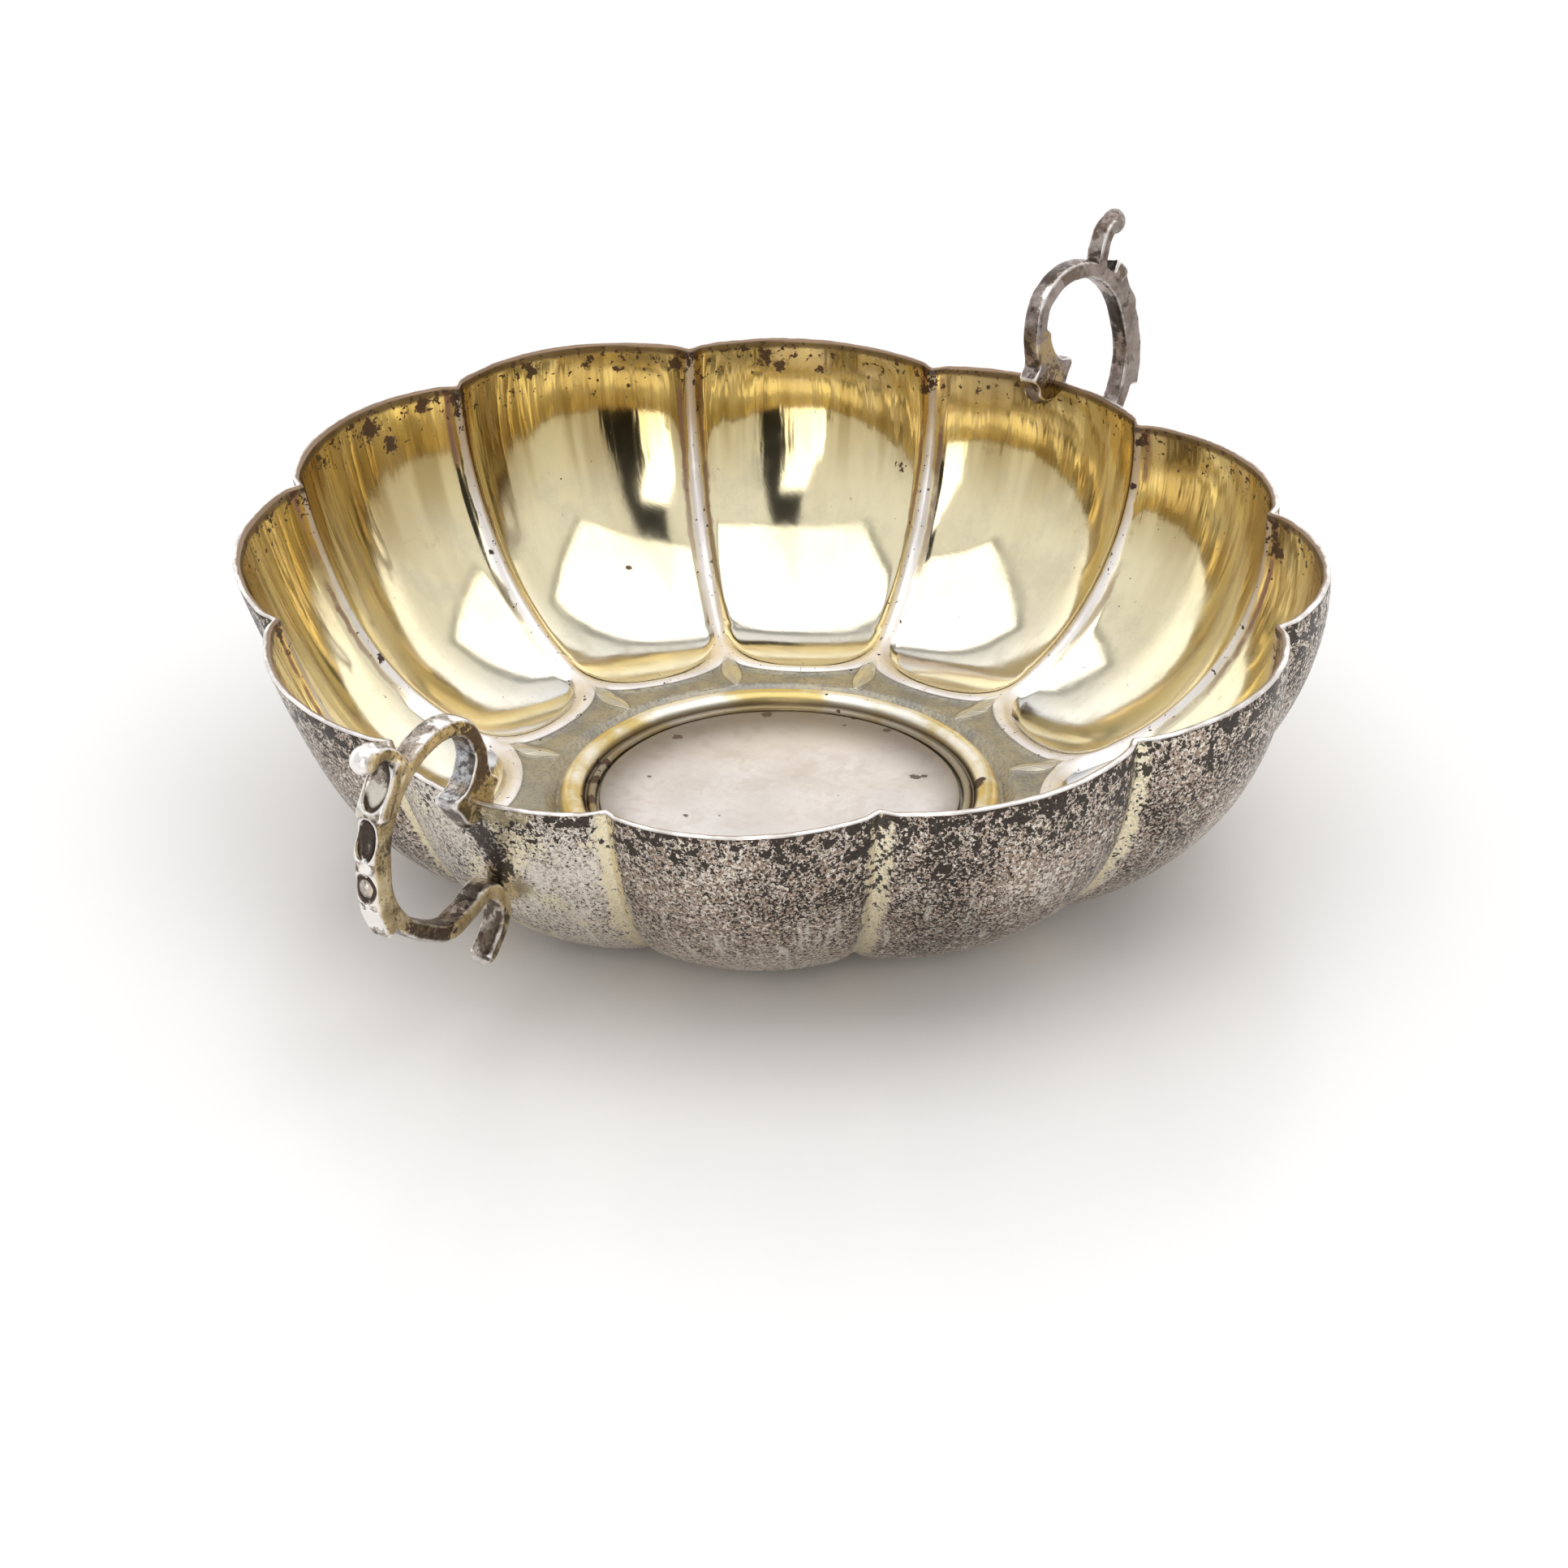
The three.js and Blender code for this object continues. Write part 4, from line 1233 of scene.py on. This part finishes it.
def ring_gilding():
    """The moulded wire: rubbed gilding, a dirty groove between roll and beading, and pits along its foot."""
    metal, _, place = new_metal("ring_gilding")
    wear = grain(place, 150.0, detail=5.0)
    radius = distance(stretched(place, (1.0, 1.0, 0.0)), (0.0, 0.0, 0.0))
    groove_radius = (RING_OUTER_RADIUS - ROLL_WIDTH) * MM
    beading = blur_step(radius, groove_radius + 0.3 * MM, groove_radius)
    pits = larger(specks(place, 700.0, 0.10, 0.25), marks(place, PITS_RING))
    colour = layered(
        GOLD,
        (blur_step(wear, 0.42, 0.62), WASHED_GOLD),
        (blur_step(abs(radius - groove_radius), 0.15 * MM, 0.5 * MM, 0.75, 0.0), SEAM_DIRT),
        # painted shade: the beading darkened brown towards its far side
        (beading * effect(CENTRE_SHADE, place, Unevenness=wear), RING_SHADE_BROWN),
        (pits, BROWN),
    )
    return finished_metal(metal, colour, 0.28 + wear * 0.16, wear * 0.5 - pits, RING_RELIEF)


def disc_silver():
    """The plain disc: bare silver with a pinkish bloom, hairlines and a few dark spots."""
    metal, _, place = new_metal("disc_silver")
    tone = grain(place, 150.0, detail=6.0, roughness=0.65)
    colour = layered(
        colour_mix(blur_step(tone, 0.3, 0.7), *DISC_TONES),
        (tarnish(place, 300.0, 0.36, 0.2) * 0.3, BLOOM_BROWN),
        # painted shade: the disc darkened brown towards its far edge, where the ring's inner wall shows in it
        (effect(CENTRE_SHADE, place, Unevenness=tone), DISC_SHADE_BROWN),
        (larger(specks(place, 620.0, 0.05, 0.22), marks(place, STAINS_DISC)) * 0.85, BROWN),
    )
    relief = tone * 1.2 + scratches(place, 420.0, 1.0) * 0.12
    return finished_metal(metal, colour, 0.32 + tone * 0.16, relief, FINE_RELIEF)


def handle_metal(name, sides, faces, dotting, places):
    """Cast silver: the flat sides and the outer faces each between two tones, with bright edges, dark hollows
    and single places of their own, among them painted highlights and painted shade."""
    metal, tree, place = new_metal(name)

    def at(kind, raggedness=1.6):
        return marks(place, places.get(kind, []), raggedness)

    relief = attribute(tree, "relief")
    side = attribute(tree, "side")
    face = 1.0 - side
    wear = grain(place, 350.0, detail=5.0, roughness=0.7)
    broad = grain(place, 130.0, detail=4.0, roughness=0.65)
    blotch = tarnish(place, 480.0, straight_step(side, 0.0, 1.0, 0.40, 0.24), 0.08)
    dots = tarnish(place, 2400.0, dotting - 0.4 + broad * 0.8, 0.05)
    dark = larger(blotch, dots * 0.8)
    worn_and_highlit = blur_step(relief + wear * 0.25, 0.76, 0.90)
    # painted highlights join the worn edges at single places
    worn_and_highlit = larger(worn_and_highlit * 0.85, at("painted_highlight") * face)
    colour = layered(
        colour_mix(blur_step(wear, 0.40, 0.62), *faces),
        (side, colour_mix(blur_step(wear, 0.36, 0.64), *sides)),
        (at("gilt", 2.5) * 0.8, OLD_GILT),
        (larger(blur_step(broad, 0.55, 0.59) * 0.8, at("brown", 3.6)), UMBER),
        (at("blue") * face * 0.85, colour_mix(blur_step(wear, 0.4, 0.6), *SLATE_TONES)),
        (dark * 0.85, PIT_BROWN),
        (at("pale") * face * 0.8, PALE_HOLLOW),
        # painted shade: near black at single shaded places
        (at("painted_shade") * face * 0.9, SOOT_AND_SHADE),
        (blur_step(relief, 0.42, 0.30), HOLLOW_DIRT),
        # white silver on worn edges and painted highlights, less where the bead stays dull
        (maths("SUBTRACT", worn_and_highlit, at("dull") * 0.75, limit=True), SILVER),
    )
    return finished_metal(metal, colour, 0.19 + wear * 0.22, wear - dark * 0.4, FINE_RELIEF)


# Table, light and camera


def white_table():
    material = bpy.data.materials.new("white_table")
    material.use_nodes = True
    inputs = {"Base Color": TABLE_COLOUR, "Roughness": TABLE_ROUGHNESS}
    fill(material.node_tree, material.node_tree.nodes["Principled BSDF"], inputs)
    return material


def table_top():
    shape = bmesh.new()
    bmesh.ops.create_grid(shape, x_segments=1, y_segments=1, size=TABLE_REACH)
    linked("table_top", shape, [white_table()])


def overhead_box():
    """The large soft box over the table, square to the camera, with the whole bowl under it."""
    lamp = bpy.data.lights.new("overhead_box", "AREA")
    lamp.shape = "RECTANGLE"
    lamp.size = BOX_WIDTH
    lamp.size_y = BOX_DEPTH
    lamp.energy = BOX_LEVEL * math.pi * BOX_WIDTH * BOX_DEPTH
    light = bpy.data.objects.new("overhead_box", lamp)
    square = Matrix.Rotation(CAMERA_AZIMUTH, 4, "Z")
    light.matrix_world = square @ Matrix.Translation((BOX_RIGHT, -BOX_BACK, BOX_HEIGHT))
    bpy.context.scene.collection.objects.link(light)


def surround():
    """The room round the table: pale screens, a darker edge round the soft box, and behind the camera a dark
    gap with a bright strip in it. The camera itself sees a plain backdrop."""
    world = bpy.data.worlds.new("surround")
    world.use_nodes = True
    tree = world.node_tree
    towards = add_node(tree, "ShaderNodeTexCoord", {}, "Generated")
    towards = stretched(towards, (1.0, 1.0, 1.0), (0.0, 0.0, -CAMERA_AZIMUTH))
    right, away, up = (coordinate(towards, axis) for axis in range(3))
    back = away * -1.0
    bearing = maths("ARCTAN2", right, back)

    # the box is seen as slopes from upright, right and back
    above_ground = larger(up, 0.02)
    box_right = right / above_ground - BOX_RIGHT / BOX_HEIGHT
    box_back = back / above_ground - BOX_BACK / BOX_HEIGHT
    across = abs(box_right) / (BOX_EDGE * BOX_WIDTH / 2 / BOX_HEIGHT)
    deep = abs(box_back) / (BOX_EDGE * BOX_DEPTH / 2 / BOX_HEIGHT)
    beyond = blur_step(box_back, -FAR_SHADE_END, -FAR_SHADE_START)
    outside = blur_step(larger(across, deep), 0.98, 1.12) * straight_step(beyond, 0.0, 1.0, 1.0, 0.5)

    left = bearing - straight_step(up, 0.4, 0.75, 0.0, STRIP_SLANT)
    past_left = blur_step(left, GAP_LEFT - 0.02, GAP_LEFT + 0.02)
    gap = past_left * blur_step(bearing, GAP_RIGHT - 0.02, GAP_RIGHT + 0.02, 1.0, 0.0)
    strip = past_left * blur_step(left, STRIP_RIGHT - 0.03, STRIP_RIGHT + 0.01, 1.0, 0.0)
    strip = strip * blur_step(up, 0.64, 0.72, 1.0, 0.0)
    level = straight_step(gap, 0.0, 1.0, SCREEN_LEVEL, GAP_LEVEL) + strip * STRIP_LEVEL
    level = level * (0.25 + outside * 0.75)
    seen = add_node(tree, "ShaderNodeLightPath", {}, "Is Camera Ray")
    strength = add_node(tree, "ShaderNodeMix", {0: seen, 2: level, 3: BACKDROP_LEVEL}, 0)
    fill(tree, tree.nodes["Background"], {"Color": (1.0, 1.0, 1.0, 1.0), "Strength": strength})
    bpy.context.scene.world = world


def photograph_camera():
    data = bpy.data.cameras.new("camera")
    data.sensor_width = 36.0
    data.angle = CAMERA_FIELD
    data.clip_start = 0.01
    data.clip_end = 20.0
    camera = bpy.data.objects.new("camera", data)
    bpy.context.scene.collection.objects.link(camera)
    turn = Matrix.Rotation(CAMERA_AZIMUTH, 4, "Z") @ Matrix.Rotation(math.pi / 2 - CAMERA_ELEVATION, 4, "X")
    turn = turn @ Matrix.Rotation(CAMERA_ROLL, 4, "Z")
    camera.matrix_world = Matrix.Translation(CAMERA_AIM) @ turn @ Matrix.Translation((0, 0, CAMERA_DISTANCE))
    bpy.context.scene.camera = camera


photograph_camera()
table_top()
surround()
overhead_box()

raised_bowl([gilt_inside(), tarnished_outside(), rim_silver()])
moulded_ring(ring_gilding())
plain_disc(disc_silver())
lower_handle(handle_metal("near_scroll_metal", NEAR_SIDES, NEAR_FACES, 0.30, NEAR_PLACES))
upper_handle(handle_metal("far_scroll_metal", FAR_SIDES, FAR_FACES, 0.14, FAR_PLACES))

bpy.context.scene.view_settings.view_transform = "Standard"
